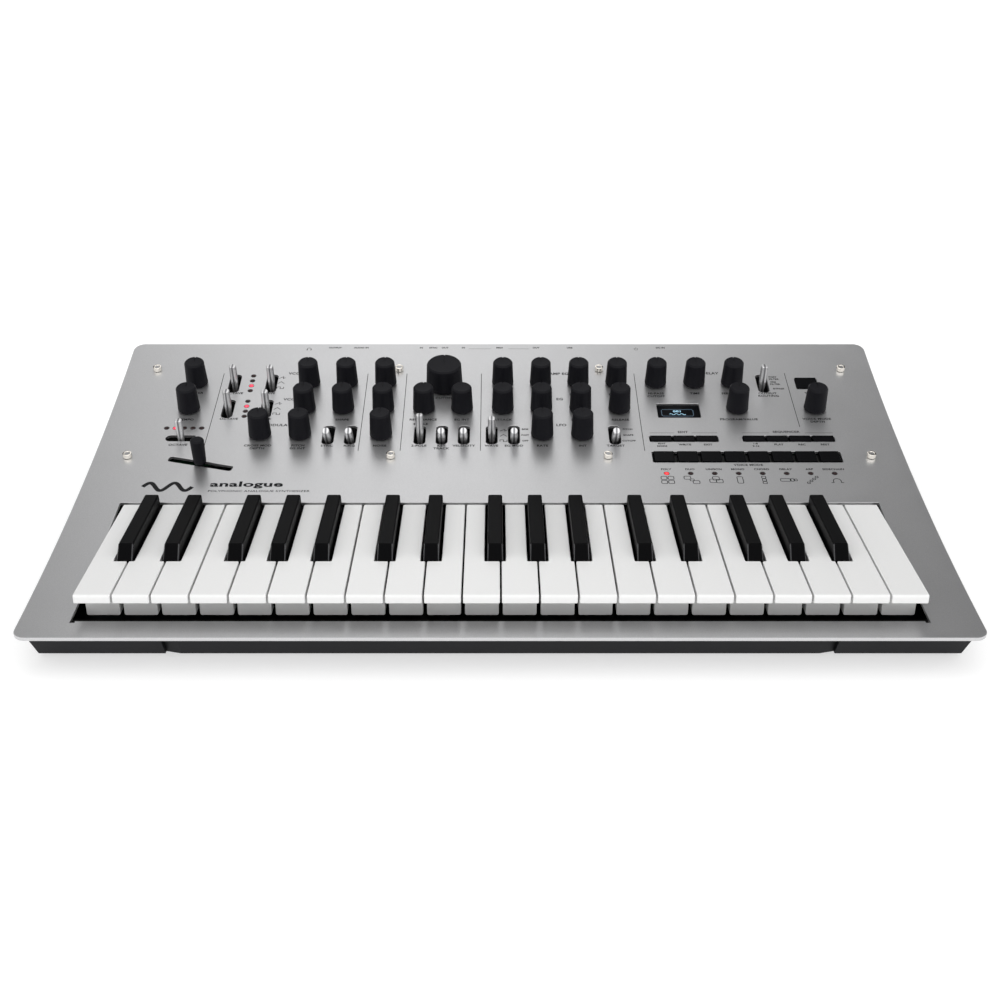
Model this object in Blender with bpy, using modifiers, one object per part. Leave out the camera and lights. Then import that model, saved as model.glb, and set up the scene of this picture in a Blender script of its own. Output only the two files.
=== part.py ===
"""Desktop analogue synthesizer with a 37-note slim keyboard.

The instrument stands on z = 0 with its long side along X and the player on the -Y side.
A curved aluminium panel carries the controls, and a plastic case, a steel bracket, the
circuit boards and the key frame hang below it. Each key is a separate piece that rocks
on the ridge of the key frame.
"""
import math

import bmesh
import bpy
from mathutils import Matrix, Vector

MM = 0.001
GAP = 0.3 * MM

# Panel: one sheet, rolled to a large radius, steeper at the rear than at the front.
PANEL_WIDTH = 500 * MM
PANEL_DEPTH = 300 * MM
PANEL_THICKNESS = 2 * MM
PANEL_FRONT_HEIGHT = 22 * MM
PANEL_FRONT_SLOPE = math.radians(4.7)
PANEL_RADIUS = 1482 * MM
PANEL_STRIPS = 12
CORNER_RADIUS = 7 * MM
CORNER_STEPS = 4

# Opening of the keybed in the panel.
OPENING_HALF_WIDTH = 223.2 * MM
OPENING_FRONT = -135.2 * MM
OPENING_REAR = -21.8 * MM
RELIEF_HALF_WIDTH = 220.6 * MM
RELIEF_FRONT = -136.6 * MM

# Lower case.
CASE_HALF_WIDTH = 246 * MM
CASE_BOTTOM_HALF_WIDTH = 243.5 * MM
CASE_FRONT_BOTTOM = -131.6 * MM
CASE_FRONT_TOP = -142.5 * MM
CASE_REAR = 146 * MM
CASE_BOTTOM = 1.7 * MM
CASE_WALL = 2.5 * MM
CASE_FRONT_WALL = 5 * MM
FRONT_NOTCH_INNER = 167.7 * MM
FRONT_NOTCH_OUTER = 176.5 * MM
FRONT_NOTCH_DEPTH = 2 * MM
FOOT_HEIGHT = 1.4 * MM

# Wooden rear board and the blocks of sockets that stand in its windows.
BOARD_HALF_WIDTH = 238 * MM
BOARD_BOTTOM = 9 * MM
BOARD_TOP = 72 * MM
BOARD_THICKNESS = 8 * MM
SOCKET_HEIGHT = 41 * MM
SOCKET_HALF_HEIGHT = 11 * MM
SOCKET_BLOCKS = ((-146 * MM, -80 * MM), (-60 * MM, 60 * MM), (84 * MM, 121 * MM))
JACK_BOARD_FRONT = 127.2 * MM
JACK_BOARD_THICKNESS = 1.6 * MM
AUDIO_JACKS_X = (-130 * MM, -112 * MM, -94 * MM)
SYNC_JACKS_X = (-52 * MM, -38 * MM)
MIDI_SOCKETS_X = (-16.7 * MM, 17.7 * MM)
USB_SOCKET_X = 48.6 * MM
POWER_BUTTON_X = 93.8 * MM
POWER_INLET_X = 111 * MM

# Keyboard.
WHITE_PITCH = 20.115 * MM
KEYS_MIDDLE = 0.42 * MM        # the keyboard stands this far right of the panel's middle
WHITE_COUNT = 22
KEY_GAP = 1 * MM
KEY_TOP = 38.3 * MM
KEY_FRONT = -134.9 * MM
KEY_LIP = 4.85 * MM
KEY_BLOCK_FRONT = -118 * MM
KEY_BLOCK_REAR = -110 * MM
KEY_BLOCK_BOTTOM = 17 * MM
KEY_VISIBLE_REAR = -24.9 * MM
KEY_NOTCH_FRONT = -96.5 * MM
KEY_NOTCH_REACH = 5.75 * MM
KEY_BEAM_BOTTOM = 28 * MM
KEY_TAIL_TOP = 34 * MM
KEY_TAIL_END = 12 * MM
PIVOT_Y = 8 * MM
PIVOT_Z = 30 * MM
BLACK_WIDTH = 8.6 * MM
BLACK_FRONT = -95.7 * MM
BLACK_SHOULDER = 37.8 * MM
BLACK_TOP_FRONT = -89.5 * MM
BLACK_TOP = 45.2 * MM
OCTAVE_NOTES = ("c", "d", "e", "f", "g", "a", "b")
FIRST_OCTAVE = 3
# Shift of each black key from the joint between its two white keys.
BLACK_SHIFT = {"c": -2.3 * MM, "d": 2.6 * MM, "f": -3.0 * MM, "g": 0.0, "a": 3.5 * MM}

# Key frame.
FRAME_BOTTOM = 4.5 * MM
FRAME_PLATE_TOP = 6.5 * MM
FRAME_HALF_WIDTH = 221 * MM
FRAME_FRONT = -122 * MM
FRAME_REAR = 15 * MM

# Control rows, as distances from the middle of the panel.
ROW_REAR = 105.5 * MM
ROW_MIDDLE = 77 * MM
ROW_FRONT = 48.7 * MM
KNOBS_REAR_X = (-125.5, -100.5, -75, 2.4, 27.4, 52.2, 77.4, 103.5, 129, 154)
KNOBS_MIDDLE_X = (-125.6, -100.7, -74.8, -24, 2.3, 27.2, 52.4, 77.6, 203.9)
KNOBS_FRONT_X = (-150.7, -125.5, -74.5, 27, 52.2)
KNOB_TOP_RADIUS = 6.4 * MM
KNOB_BASE_RADIUS = 7.1 * MM
KNOB_HEIGHT = 17.5 * MM
KNOB_LIFT = 1 * MM
SHAFT_RADIUS = 3 * MM
SHAFT_HOLE_RADIUS = 4 * MM
POT_RADIUS = 5.5 * MM
POT_TOP = -7 * MM
CUTOFF_PLACE = (-36.1 * MM, 103.2 * MM)
CUTOFF_TOP_RADIUS = 11.25 * MM
CUTOFF_BASE_RADIUS = 12 * MM
CUTOFF_HEIGHT = 17.6 * MM
TURNING_KNOBS = {
    "resonance_knob": (-48.6 * MM, ROW_MIDDLE),
    "value_knob": (153.7 * MM, ROW_MIDDLE),
    "tempo_knob": (-200.4 * MM, ROW_MIDDLE),
    "master_knob": (-200 * MM, ROW_REAR),
}

# Toggle switches: places in mm, and how many degrees the lever leans to the rear.
TOGGLES = (
    (-175.3, 105.6, 1), (-150.8, 105.6, 0), (-175.3, 77.7, 1), (-150.6, 77.7, 0),
    (-107.7, 49.1, -25), (-93.7, 49.1, -25), (-36.2, 49.1, -25), (-22.3, 49.1, -25),
    (-4.8, 49.1, -3), (9.2, 49.1, -25), (72.7, 49.1, -25), (174.5, 105.6, 1),
)
FILTER_TOGGLE_PLACE = (-50.1 * MM, 49.1 * MM)
OCTAVE_TOGGLE_PLACE = (-200 * MM, 45.6 * MM)
TOGGLE_SLOT_LENGTH = 20 * MM
TOGGLE_SLOT_WIDTH = 7.4 * MM
OCTAVE_SLOT_LENGTH = 19.5 * MM
OCTAVE_SLOT_WIDTH = 6.6 * MM
TOGGLE_PIVOT_DEPTH = 8 * MM
TOGGLE_REACH = 21.8 * MM
TOGGLE_ROOT = 2.8 * MM
TOGGLE_TIP = 4.6 * MM
FILTER_LEAN = math.radians(7.6)

# Pitch-bend lever in its slanted slot.
BEND_PLACE = (-183.2 * MM, 18.5 * MM)
BEND_SLOT_LENGTH = 42 * MM
BEND_SLOT_WIDTH = 5.4 * MM
BEND_ANGLE = math.radians(-14.8)
BEND_KNOB_RADIUS = 4.25 * MM
BEND_KNOB_HEIGHT = 18 * MM

# Button banks: centre of the slot, its size, and the number of caps in it.
BUTTON_BANKS = {
    "voice_mode_buttons": (152.7 * MM, 25.6 * MM, 116.8 * MM, 11.7 * MM, 8),
    "sequencer_buttons": (181.7 * MM, 44.9 * MM, 57.9 * MM, 6.4 * MM, 4),
    "edit_buttons": (115.9 * MM, 44.9 * MM, 43.3 * MM, 6.4 * MM, 3),
    "tap_button": (203.7 * MM, 105.6 * MM, 14.8 * MM, 12.6 * MM, 1),
}
BUTTON_SIDE_PLAY = {"voice_mode_buttons": 1.1 * MM, "sequencer_buttons": 0.6 * MM, "edit_buttons": 0.6 * MM,
                    "tap_button": 0.4 * MM}
BUTTON_PLAY = 0.4 * MM
BUTTON_RISE = 0.8 * MM
BUTTON_MAT_TOP = -3.2 * MM
BUTTON_MAT_BOTTOM = -4.4 * MM
BUTTON_MAT_MARGIN = 1 * MM

DISPLAY_PLACE = (115.8 * MM, 75.5 * MM)
DISPLAY_SIZE = (27.6 * MM, 15.4 * MM)

# Steel bracket with its cap screws.
SCREW_X = (-229.2 * MM, -67 * MM, 67 * MM, 229.2 * MM)
SCREW_Y = (25.5 * MM, 120.5 * MM)
SCREW_HEAD_RADIUS = 2.6 * MM
SCREW_HEAD_HEIGHT = 2.3 * MM
SCREW_SHANK_RADIUS = 1.4 * MM
SCREW_HOLE_RADIUS = 1.9 * MM
BRACKET_TOP = -9 * MM
BRACKET_BOTTOM = -10.5 * MM
BRACKET_RAIL_HALF = 4 * MM
LEG_HALF = 3 * MM
LEG_FOOT = 4.6 * MM

# Main circuit board, flat, tangent to the panel above its middle.
PCB_MIDDLE_Y = 71 * MM
PCB_HALF_DEPTH = 42 * MM
PCB_LEFT = -212 * MM
PCB_RIGHT = 214 * MM
PCB_TOP = -11.4 * MM
PCB_BOTTOM = -13 * MM

# Turns a drawing in local X and Y into one in world Y and Z, thickened along world X.
SIDE_VIEW = Matrix(((0, 0, 1, 0), (1, 0, 0, 0), (0, 1, 0, 0), (0, 0, 0, 1)))
# Turns a drawing's thickness from local Z to world Y.
REAR_VIEW = Matrix(((-1, 0, 0, 0), (0, 0, 1, 0), (0, 1, 0, 0), (0, 0, 0, 1)))

COLOURS = {
    "aluminium": ((0.60, 0.60, 0.61), 0.38, 0.9),
    "charcoal_plastic": ((0.030, 0.030, 0.035), 0.55, 0.0),
    "hardwood": ((0.20, 0.075, 0.032), 0.5, 0.0),
    "steel": ((0.45, 0.45, 0.46), 0.35, 1.0),
    "circuit_board": ((0.02, 0.10, 0.045), 0.45, 0.0),
    "black_socket": ((0.02, 0.02, 0.02), 0.4, 0.0),
    "soft_black": ((0.016, 0.016, 0.019), 0.62, 0.0),
    "white_key": ((0.82, 0.82, 0.81), 0.28, 0.0),
    "black_key": ((0.012, 0.012, 0.014), 0.35, 0.0),
    "chrome": ((0.72, 0.71, 0.69), 0.18, 1.0),
    "display_glass": ((0.01, 0.012, 0.016), 0.1, 0.0),
    "rubber": ((0.02, 0.02, 0.02), 0.85, 0.0),
    "key_frame_plastic": ((0.05, 0.05, 0.052), 0.6, 0.0),
}


def clear_scene():
    for item in list(bpy.data.objects):
        bpy.data.objects.remove(item, do_unlink=True)


def collection(name):
    group = bpy.data.collections.get(name) or bpy.data.collections.new(name)
    if group.name not in bpy.context.scene.collection.children:
        bpy.context.scene.collection.children.link(group)
    return group


def material(name):
    found = bpy.data.materials.get(name)
    if found:
        return found
    colour, roughness, metallic = COLOURS[name]
    made = bpy.data.materials.new(name)
    made.use_nodes = True
    shader = made.node_tree.nodes["Principled BSDF"]
    shader.inputs["Base Color"].default_value = (*colour, 1)
    shader.inputs["Roughness"].default_value = roughness
    shader.inputs["Metallic"].default_value = metallic
    made.diffuse_color = (*colour, 1)
    return made


def evaluated_mesh(holder):
    """Mesh of a temporary object with its modifiers, welded shut, and the object removed."""
    bpy.context.scene.collection.objects.link(holder)
    graph = bpy.context.evaluated_depsgraph_get()
    mesh = bpy.data.meshes.new_from_object(holder.evaluated_get(graph))
    bpy.data.objects.remove(holder)
    work = bmesh.new()
    work.from_mesh(mesh)
    bmesh.ops.remove_doubles(work, verts=work.verts, dist=0.000001)
    bmesh.ops.dissolve_degenerate(work, edges=work.edges, dist=0.000001)
    bmesh.ops.recalc_face_normals(work, faces=work.faces)
    work.to_mesh(mesh)
    work.free()
    return mesh


def outline_solid(points, low, high):
    """Solid of a flat closed outline of (x, y) points, between two heights on Z."""
    curve = bpy.data.curves.new("outline", "CURVE")
    curve.dimensions = "2D"
    curve.fill_mode = "BOTH"
    curve.extrude = (high - low) / 2
    spline = curve.splines.new("POLY")
    spline.points.add(len(points) - 1)
    for point, (x, y) in zip(spline.points, points):
        point.co = (x, y, 0, 1)
    spline.use_cyclic_u = True
    mesh = evaluated_mesh(bpy.data.objects.new("outline", curve))
    mesh.transform(Matrix.Translation((0, 0, (high + low) / 2)))
    return mesh


def turned_solid(profile, steps):
    """Solid of (radius, height) points turned about Z, from the axis down and back to it."""
    mesh = bpy.data.meshes.new("profile")
    work = bmesh.new()
    corners = [work.verts.new((radius, 0, height)) for radius, height in profile]
    for first, second in zip(corners, corners[1:]):
        work.edges.new((first, second))
    work.to_mesh(mesh)
    work.free()
    holder = bpy.data.objects.new("profile", mesh)
    screw = holder.modifiers.new("turn", "SCREW")
    screw.steps = steps
    screw.render_steps = steps
    screw.use_merge_vertices = True
    screw.merge_threshold = 0.00001
    return evaluated_mesh(holder)


def box_solid(low, high):
    """Box between two corners."""
    size = Vector(high) - Vector(low)
    middle = (Vector(high) + Vector(low)) / 2
    mesh = bpy.data.meshes.new("box")
    work = bmesh.new()
    bmesh.ops.create_cube(work, size=1, matrix=Matrix.LocRotScale(middle, None, size))
    work.to_mesh(mesh)
    work.free()
    return mesh


def tapered_box(low, high, top_low, top_high):
    """Box whose top face is the smaller rectangle between two (x, y) corners."""
    mesh = box_solid(low, high)
    middle = [(low[axis] + high[axis]) / 2 for axis in range(3)]
    for vertex in mesh.vertices:
        if vertex.co.z > middle[2]:
            for axis in range(2):
                upper = vertex.co[axis] > middle[axis]
                vertex.co[axis] = top_high[axis] if upper else top_low[axis]
    return mesh


def gathered(pieces):
    """One mesh from (mesh, matrix) pairs that don't touch each other."""
    mesh = bpy.data.meshes.new("gathered")
    work = bmesh.new()
    for piece, matrix in pieces:
        copy = piece.copy()
        copy.transform(matrix)
        work.from_mesh(copy)
        bpy.data.meshes.remove(copy)
    work.to_mesh(mesh)
    work.free()
    return mesh


def add_part(name, mesh, finish, matrix=Matrix()):
    """Named piece of the instrument, whose mesh is drawn in the frame of the matrix."""
    mesh.name = name
    part = bpy.data.objects.new(name, mesh)
    collection("synthesizer").objects.link(part)
    part.matrix_world = matrix
    mesh.materials.clear()
    mesh.materials.append(material(finish))
    mesh.shade_smooth()
    mesh.set_sharp_from_angle(angle=math.radians(35))
    return part


def combine(part, operation, mesh):
    """Boolean of a piece with a mesh drawn in the piece's own frame."""
    cutter = bpy.data.objects.new(part.name + "_" + operation.lower(), mesh)
    collection("cutters").objects.link(cutter)
    cutter.matrix_world = part.matrix_world
    cutter.hide_render = True
    cutter.display_type = "WIRE"
    boolean = part.modifiers.new(operation.lower(), "BOOLEAN")
    boolean.operation = operation
    boolean.solver = "EXACT"
    boolean.object = cutter


def panel_height(y):
    """Height of the panel's upper face at a distance from the middle of the instrument."""
    centre_y = -PANEL_DEPTH / 2 - PANEL_RADIUS * math.sin(PANEL_FRONT_SLOPE)
    centre_z = PANEL_FRONT_HEIGHT + PANEL_RADIUS * math.cos(PANEL_FRONT_SLOPE)
    return centre_z - math.sqrt(PANEL_RADIUS ** 2 - (y - centre_y) ** 2)


def panel_slope(y):
    front = PANEL_RADIUS * math.sin(PANEL_FRONT_SLOPE)
    return math.asin((y + PANEL_DEPTH / 2 + front) / PANEL_RADIUS)


def on_panel(x, y):
    """Frame on the panel's face: local Z is its normal and local Y runs up the slope."""
    return Matrix.Translation((x, y, panel_height(y))) @ Matrix.Rotation(panel_slope(y), 4, "X")


def rounded_rectangle(half_width, half_depth, radius, steps):
    points = []
    corners = ((1, 1, 0), (-1, 1, 90), (-1, -1, 180), (1, -1, 270))
    for side_x, side_y, start in corners:
        centre = (side_x * (half_width - radius), side_y * (half_depth - radius))
        for step in range(steps + 1):
            angle = math.radians(start + 90 * step / steps)
            points.append((centre[0] + radius * math.cos(angle), centre[1] + radius * math.sin(angle)))
    return points


def polygon(radius, sides):
    turn = 2 * math.pi / sides
    return [(radius * math.cos(turn * (i + 0.5)), radius * math.sin(turn * (i + 0.5))) for i in range(sides)]


def slot_outline(length, width):
    """Long hole with rounded ends, along X."""
    return rounded_rectangle(length / 2, width / 2, width / 2 - 0.01 * MM, 2)


def knob_profile(top_radius, base_radius, height, foot):
    """Knob with its shaft down to the foot height, drawn from the panel's face."""
    chamfer = 0.8 * MM
    return [
        (0, height), (top_radius - chamfer, height), (top_radius, height - chamfer),
        (base_radius, KNOB_LIFT), (SHAFT_RADIUS, KNOB_LIFT), (SHAFT_RADIUS, foot), (0, foot),
    ]


def fixed_knob_places():
    rows = ((KNOBS_REAR_X, ROW_REAR), (KNOBS_MIDDLE_X, ROW_MIDDLE), (KNOBS_FRONT_X, ROW_FRONT))
    return [(x * MM, y) for row, y in rows for x in row]


def turning_knob_places():
    return [*TURNING_KNOBS.values(), CUTOFF_PLACE]


def toggle_places():
    return [(x * MM, y * MM) for x, y, lean in TOGGLES] + [FILTER_TOGGLE_PLACE]


def screw_places():
    return [(x, y) for x in SCREW_X for y in SCREW_Y]


def panel_surface():
    """Upper face of the panel: a rounded rectangle cut into strips and laid on the arc."""
    mesh = bpy.data.meshes.new("panel")
    work = bmesh.new()
    outline = rounded_rectangle(PANEL_WIDTH / 2, PANEL_DEPTH / 2, CORNER_RADIUS, CORNER_STEPS)
    work.faces.new([work.verts.new((x, y, 0)) for x, y in outline])
    for strip in range(1, PANEL_STRIPS):
        y = PANEL_DEPTH * (strip / PANEL_STRIPS - 0.5)
        everything = work.verts[:] + work.edges[:] + work.faces[:]
        bmesh.ops.bisect_plane(work, geom=everything, plane_co=(0, y, 0), plane_no=(0, 1, 0))
    for vertex in work.verts:
        vertex.co.z = panel_height(vertex.co.y)
    bmesh.ops.recalc_face_normals(work, faces=work.faces)
    work.to_mesh(mesh)
    work.free()
    return mesh


def keybed_outline():
    """Opening of the keybed, a little deeper at its two front corners."""
    half, inner = OPENING_HALF_WIDTH, RELIEF_HALF_WIDTH
    return [(half, OPENING_REAR), (-half, OPENING_REAR), (-half, RELIEF_FRONT), (-inner, RELIEF_FRONT),
            (-inner, OPENING_FRONT), (inner, OPENING_FRONT), (inner, RELIEF_FRONT), (half, RELIEF_FRONT)]


def build_top_panel():
    part = add_part("top_panel", panel_surface(), "aluminium")
    sheet = part.modifiers.new("sheet", "SOLIDIFY")
    sheet.thickness = PANEL_THICKNESS
    sheet.offset = -1
    deep, proud = -5 * MM, 3 * MM
    shaft_hole = outline_solid(polygon(SHAFT_HOLE_RADIUS, 8), deep, proud)
    screw_hole = outline_solid(polygon(SCREW_HOLE_RADIUS, 8), deep, proud)
    toggle_slot = outline_solid(slot_outline(TOGGLE_SLOT_LENGTH, TOGGLE_SLOT_WIDTH), deep, proud)
    octave_slot = outline_solid(slot_outline(OCTAVE_SLOT_LENGTH, OCTAVE_SLOT_WIDTH), deep, proud)
    bend_slot = outline_solid(slot_outline(BEND_SLOT_LENGTH, BEND_SLOT_WIDTH), deep, proud)
    quarter = Matrix.Rotation(math.pi / 2, 4, "Z")
    holes = [(shaft_hole, on_panel(x, y)) for x, y in fixed_knob_places() + turning_knob_places()]
    holes += [(screw_hole, on_panel(x, y)) for x, y in screw_places()]
    holes += [(toggle_slot, on_panel(x, y) @ quarter) for x, y in toggle_places()]
    holes.append((octave_slot, on_panel(*OCTAVE_TOGGLE_PLACE)))
    holes.append((bend_slot, on_panel(*BEND_PLACE) @ Matrix.Rotation(BEND_ANGLE, 4, "Z")))
    windows = [bank[:4] for bank in BUTTON_BANKS.values()] + [(*DISPLAY_PLACE, *DISPLAY_SIZE)]
    for x, y, width, depth in windows:
        window = box_solid((-width / 2, -depth / 2, deep), (width / 2, depth / 2, proud))
        holes.append((window, on_panel(x, y)))
    holes.append((outline_solid(keybed_outline(), 0, 0.1), Matrix()))
    combine(part, "DIFFERENCE", gathered(holes))


def case_profile(front_inset, rear, bottom, top_drop):
    """Side outline of the case: flat floor, leaning front, top edge below the panel."""
    steps = 10
    front_bottom = CASE_FRONT_BOTTOM + front_inset
    front_top = CASE_FRONT_TOP + front_inset
    points = [(front_bottom, bottom), (rear, bottom)]
    for step in range(steps + 1):
        y = rear + (front_top - rear) * step / steps
        points.append((y, panel_height(y) - PANEL_THICKNESS * 1.05 - top_drop))
    return points


def build_lower_case():
    outer = outline_solid(case_profile(0, CASE_REAR, CASE_BOTTOM, GAP), -CASE_HALF_WIDTH, CASE_HALF_WIDTH)
    outer.transform(SIDE_VIEW)
    for vertex in outer.vertices:
        if vertex.co.z < CASE_BOTTOM + GAP:
            vertex.co.x = math.copysign(CASE_BOTTOM_HALF_WIDTH, vertex.co.x)
    part = add_part("lower_case", outer, "charcoal_plastic")
    inner_half = CASE_BOTTOM_HALF_WIDTH - CASE_WALL
    floor = CASE_BOTTOM + CASE_WALL
    cavity = outline_solid(case_profile(CASE_FRONT_WALL, CASE_REAR - CASE_WALL, floor, -30 * MM),
                           -inner_half, inner_half)
    cavity.transform(SIDE_VIEW)
    combine(part, "DIFFERENCE", cavity)
    rear_window = box_solid((-BOARD_HALF_WIDTH - GAP, CASE_REAR - 15 * MM, BOARD_BOTTOM - GAP),
                            (BOARD_HALF_WIDTH + GAP, CASE_REAR + 5 * MM, 0.1))
    combine(part, "DIFFERENCE", rear_window)
    # Two upright notches in the leaning front wall, each a step on its outer side and a ramp inward.
    lean = math.atan2(CASE_FRONT_BOTTOM - CASE_FRONT_TOP, PANEL_FRONT_HEIGHT - CASE_BOTTOM)
    wall = Matrix.Translation((0, CASE_FRONT_BOTTOM, CASE_BOTTOM)) @ Matrix.Rotation(lean, 4, "X")
    inner, outer, past = FRONT_NOTCH_INNER, FRONT_NOTCH_OUTER, -5 * MM
    notches = []
    for side in (-1, 1):
        notch = [(side * inner, past), (side * outer, past), (side * outer, FRONT_NOTCH_DEPTH),
                 (side * inner, -0.2 * MM)]
        notches.append((outline_solid(notch, -20 * MM, 40 * MM), wall))
    combine(part, "DIFFERENCE", gathered(notches))


def build_rear_board():
    low = (-BOARD_HALF_WIDTH, CASE_REAR - BOARD_THICKNESS, BOARD_BOTTOM)
    high = (BOARD_HALF_WIDTH, CASE_REAR, BOARD_TOP)
    part = add_part("rear_board", box_solid(low, high), "hardwood")
    windows = []
    for left, right in SOCKET_BLOCKS:
        window = box_solid((left, low[1] - 5 * MM, SOCKET_HEIGHT - SOCKET_HALF_HEIGHT),
                           (right, high[1] + 5 * MM, SOCKET_HEIGHT + SOCKET_HALF_HEIGHT))
        windows.append((window, Matrix()))
    combine(part, "DIFFERENCE", gathered(windows))


def build_jack_board():
    """Upright board with the blocks of sockets, each hollow open to the rear."""
    back = CASE_REAR - 1.5 * MM
    bottom, top = SOCKET_HEIGHT - SOCKET_HALF_HEIGHT, SOCKET_HEIGHT + SOCKET_HALF_HEIGHT
    board_back = JACK_BOARD_FRONT + JACK_BOARD_THICKNESS
    board = box_solid((SOCKET_BLOCKS[0][0], JACK_BOARD_FRONT, bottom - 4 * MM),
                      (SOCKET_BLOCKS[-1][1], board_back, top + 4 * MM))
    part = add_part("jack_board", board, "black_socket")
    blocks = []
    for left, right in SOCKET_BLOCKS:
        block = box_solid((left + GAP, board_back - MM, bottom + GAP), (right - GAP, back, top - GAP))
        blocks.append((block, Matrix()))
    combine(part, "UNION", gathered(blocks))
    hollows = []

    def add_hollow(x, mesh, depth):
        place = Matrix.Translation((x, back - depth, SOCKET_HEIGHT)) @ REAR_VIEW
        hollows.append((mesh, place))

    past = 3 * MM
    for x in AUDIO_JACKS_X:
        add_hollow(x, outline_solid(polygon(3.4 * MM, 8), 0, 14 * MM + past), 14 * MM)
    for x in SYNC_JACKS_X:
        add_hollow(x, outline_solid(polygon(1.9 * MM, 8), 0, 12 * MM + past), 12 * MM)
    for x in MIDI_SOCKETS_X:
        add_hollow(x, outline_solid(polygon(6.9 * MM, 16), 0, 9 * MM + past), 9 * MM)
    usb = [(-4.2 * MM, -4 * MM), (4.2 * MM, -4 * MM), (4.2 * MM, 2.4 * MM), (2.6 * MM, 4 * MM),
           (-2.6 * MM, 4 * MM), (-4.2 * MM, 2.4 * MM)]
    add_hollow(USB_SOCKET_X, outline_solid(usb, 0, 10 * MM + past), 10 * MM)
    add_hollow(POWER_INLET_X, outline_solid(polygon(3.2 * MM, 8), 0, 9 * MM + past), 9 * MM)
    button = outline_solid(rounded_rectangle(4.2 * MM, 4.2 * MM, MM, 2), 0, 12 * MM + past)
    add_hollow(POWER_BUTTON_X, button, 12 * MM)
    combine(part, "DIFFERENCE", gathered(hollows))


def build_power_button():
    """Square push button that stands out of the rear socket block."""
    back = CASE_REAR - 1.5 * MM
    cap = outline_solid(rounded_rectangle(3.8 * MM, 3.8 * MM, 0.8 * MM, 2), -9 * MM, 1.5 * MM)
    place = Matrix.Translation((POWER_BUTTON_X, back, SOCKET_HEIGHT)) @ REAR_VIEW
    add_part("power_button", cap, "soft_black", place)


def build_key_frame():
    """Moulded frame: floor plate, pivot ridge, contact rail and front stop rail."""
    half = FRAME_HALF_WIDTH
    plate = box_solid((-half, FRAME_FRONT, FRAME_BOTTOM), (half, FRAME_REAR, FRAME_PLATE_TOP))
    part = add_part("key_frame", plate, "key_frame_plastic")
    inside = FRAME_PLATE_TOP - MM
    ridge = tapered_box((-half + MM, PIVOT_Y - 5 * MM, inside), (half - MM, PIVOT_Y + 5 * MM, KEY_BEAM_BOTTOM - GAP),
                        (-half + MM, PIVOT_Y - 1.6 * MM), (half - MM, PIVOT_Y + 1.6 * MM))
    contact_rail = box_solid((-half + MM, -68 * MM, inside), (half - MM, -54 * MM, 21 * MM))
    stop_rail = box_solid((-half + MM, -120 * MM, inside), (half - MM, -108 * MM, 8.6 * MM))
    rails = [(ridge, Matrix()), (contact_rail, Matrix()), (stop_rail, Matrix())]
    combine(part, "UNION", gathered(rails))


def black_centres():
    """Centre of each black key, named for the white key on its left."""
    centres = {}
    for index in range(WHITE_COUNT - 1):
        note = OCTAVE_NOTES[index % 7]
        if note in BLACK_SHIFT:
            boundary = KEYS_MIDDLE + (index + 1 - WHITE_COUNT / 2) * WHITE_PITCH
            centres[index] = boundary + BLACK_SHIFT[note]
    return centres


def build_white_key(index, centres):
    note = OCTAVE_NOTES[index % 7] + str(FIRST_OCTAVE + index // 7)
    left = KEYS_MIDDLE + (index - WHITE_COUNT / 2) * WHITE_PITCH + KEY_GAP / 2
    right = left + WHITE_PITCH - KEY_GAP
    pivot = Vector(((left + right) / 2, PIVOT_Y, PIVOT_Z))
    lip_bottom = KEY_TOP - KEY_LIP
    side = [
        (KEY_FRONT, KEY_TOP), (KEY_FRONT, lip_bottom), (KEY_BLOCK_FRONT, lip_bottom),
        (KEY_BLOCK_FRONT, KEY_BLOCK_BOTTOM), (KEY_BLOCK_REAR, KEY_BLOCK_BOTTOM),
        (KEY_BLOCK_REAR, KEY_BEAM_BOTTOM), (KEY_TAIL_END, KEY_BEAM_BOTTOM),
        (KEY_TAIL_END, KEY_TAIL_TOP), (KEY_VISIBLE_REAR, KEY_TAIL_TOP), (KEY_VISIBLE_REAR, KEY_TOP),
    ]
    body = outline_solid([(y - PIVOT_Y, z - PIVOT_Z) for y, z in side], left - pivot.x, right - pivot.x)
    body.transform(SIDE_VIEW)
    part = add_part("key_" + note, body, "white_key", Matrix.Translation(pivot))
    reach = KEY_NOTCH_REACH
    notches = []
    if index - 1 in centres:
        notches.append((left - MM, centres[index - 1] + reach))
    if index in centres:
        notches.append((centres[index] - reach, right + MM))
    if not notches:
        return
    front = KEY_NOTCH_FRONT - PIVOT_Y
    cuts = []
    for low_x, high_x in notches:
        cut = box_solid((low_x - pivot.x, front, -20 * MM), (high_x - pivot.x, 20 * MM, 20 * MM))
        cuts.append((cut, Matrix()))
    combine(part, "DIFFERENCE", gathered(cuts))


def build_black_key(index, centre):
    note = OCTAVE_NOTES[index % 7] + "s" + str(FIRST_OCTAVE + index // 7)
    pivot = Vector((centre, PIVOT_Y, PIVOT_Z))
    side = [
        (BLACK_FRONT, KEY_BEAM_BOTTOM), (BLACK_FRONT, BLACK_SHOULDER), (BLACK_TOP_FRONT, BLACK_TOP),
        (KEY_VISIBLE_REAR - 0.5 * MM, BLACK_TOP), (KEY_VISIBLE_REAR, KEY_TAIL_TOP),
        (KEY_TAIL_END, KEY_TAIL_TOP), (KEY_TAIL_END, KEY_BEAM_BOTTOM),
    ]
    body = outline_solid([(y - PIVOT_Y, z - PIVOT_Z) for y, z in side], -BLACK_WIDTH / 2, BLACK_WIDTH / 2)
    body.transform(SIDE_VIEW)
    add_part("key_" + note, body, "black_key", Matrix.Translation(pivot))


def build_keys():
    centres = black_centres()
    for index in range(WHITE_COUNT):
        build_white_key(index, centres)
    for index, centre in centres.items():
        build_black_key(index, centre)


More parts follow.
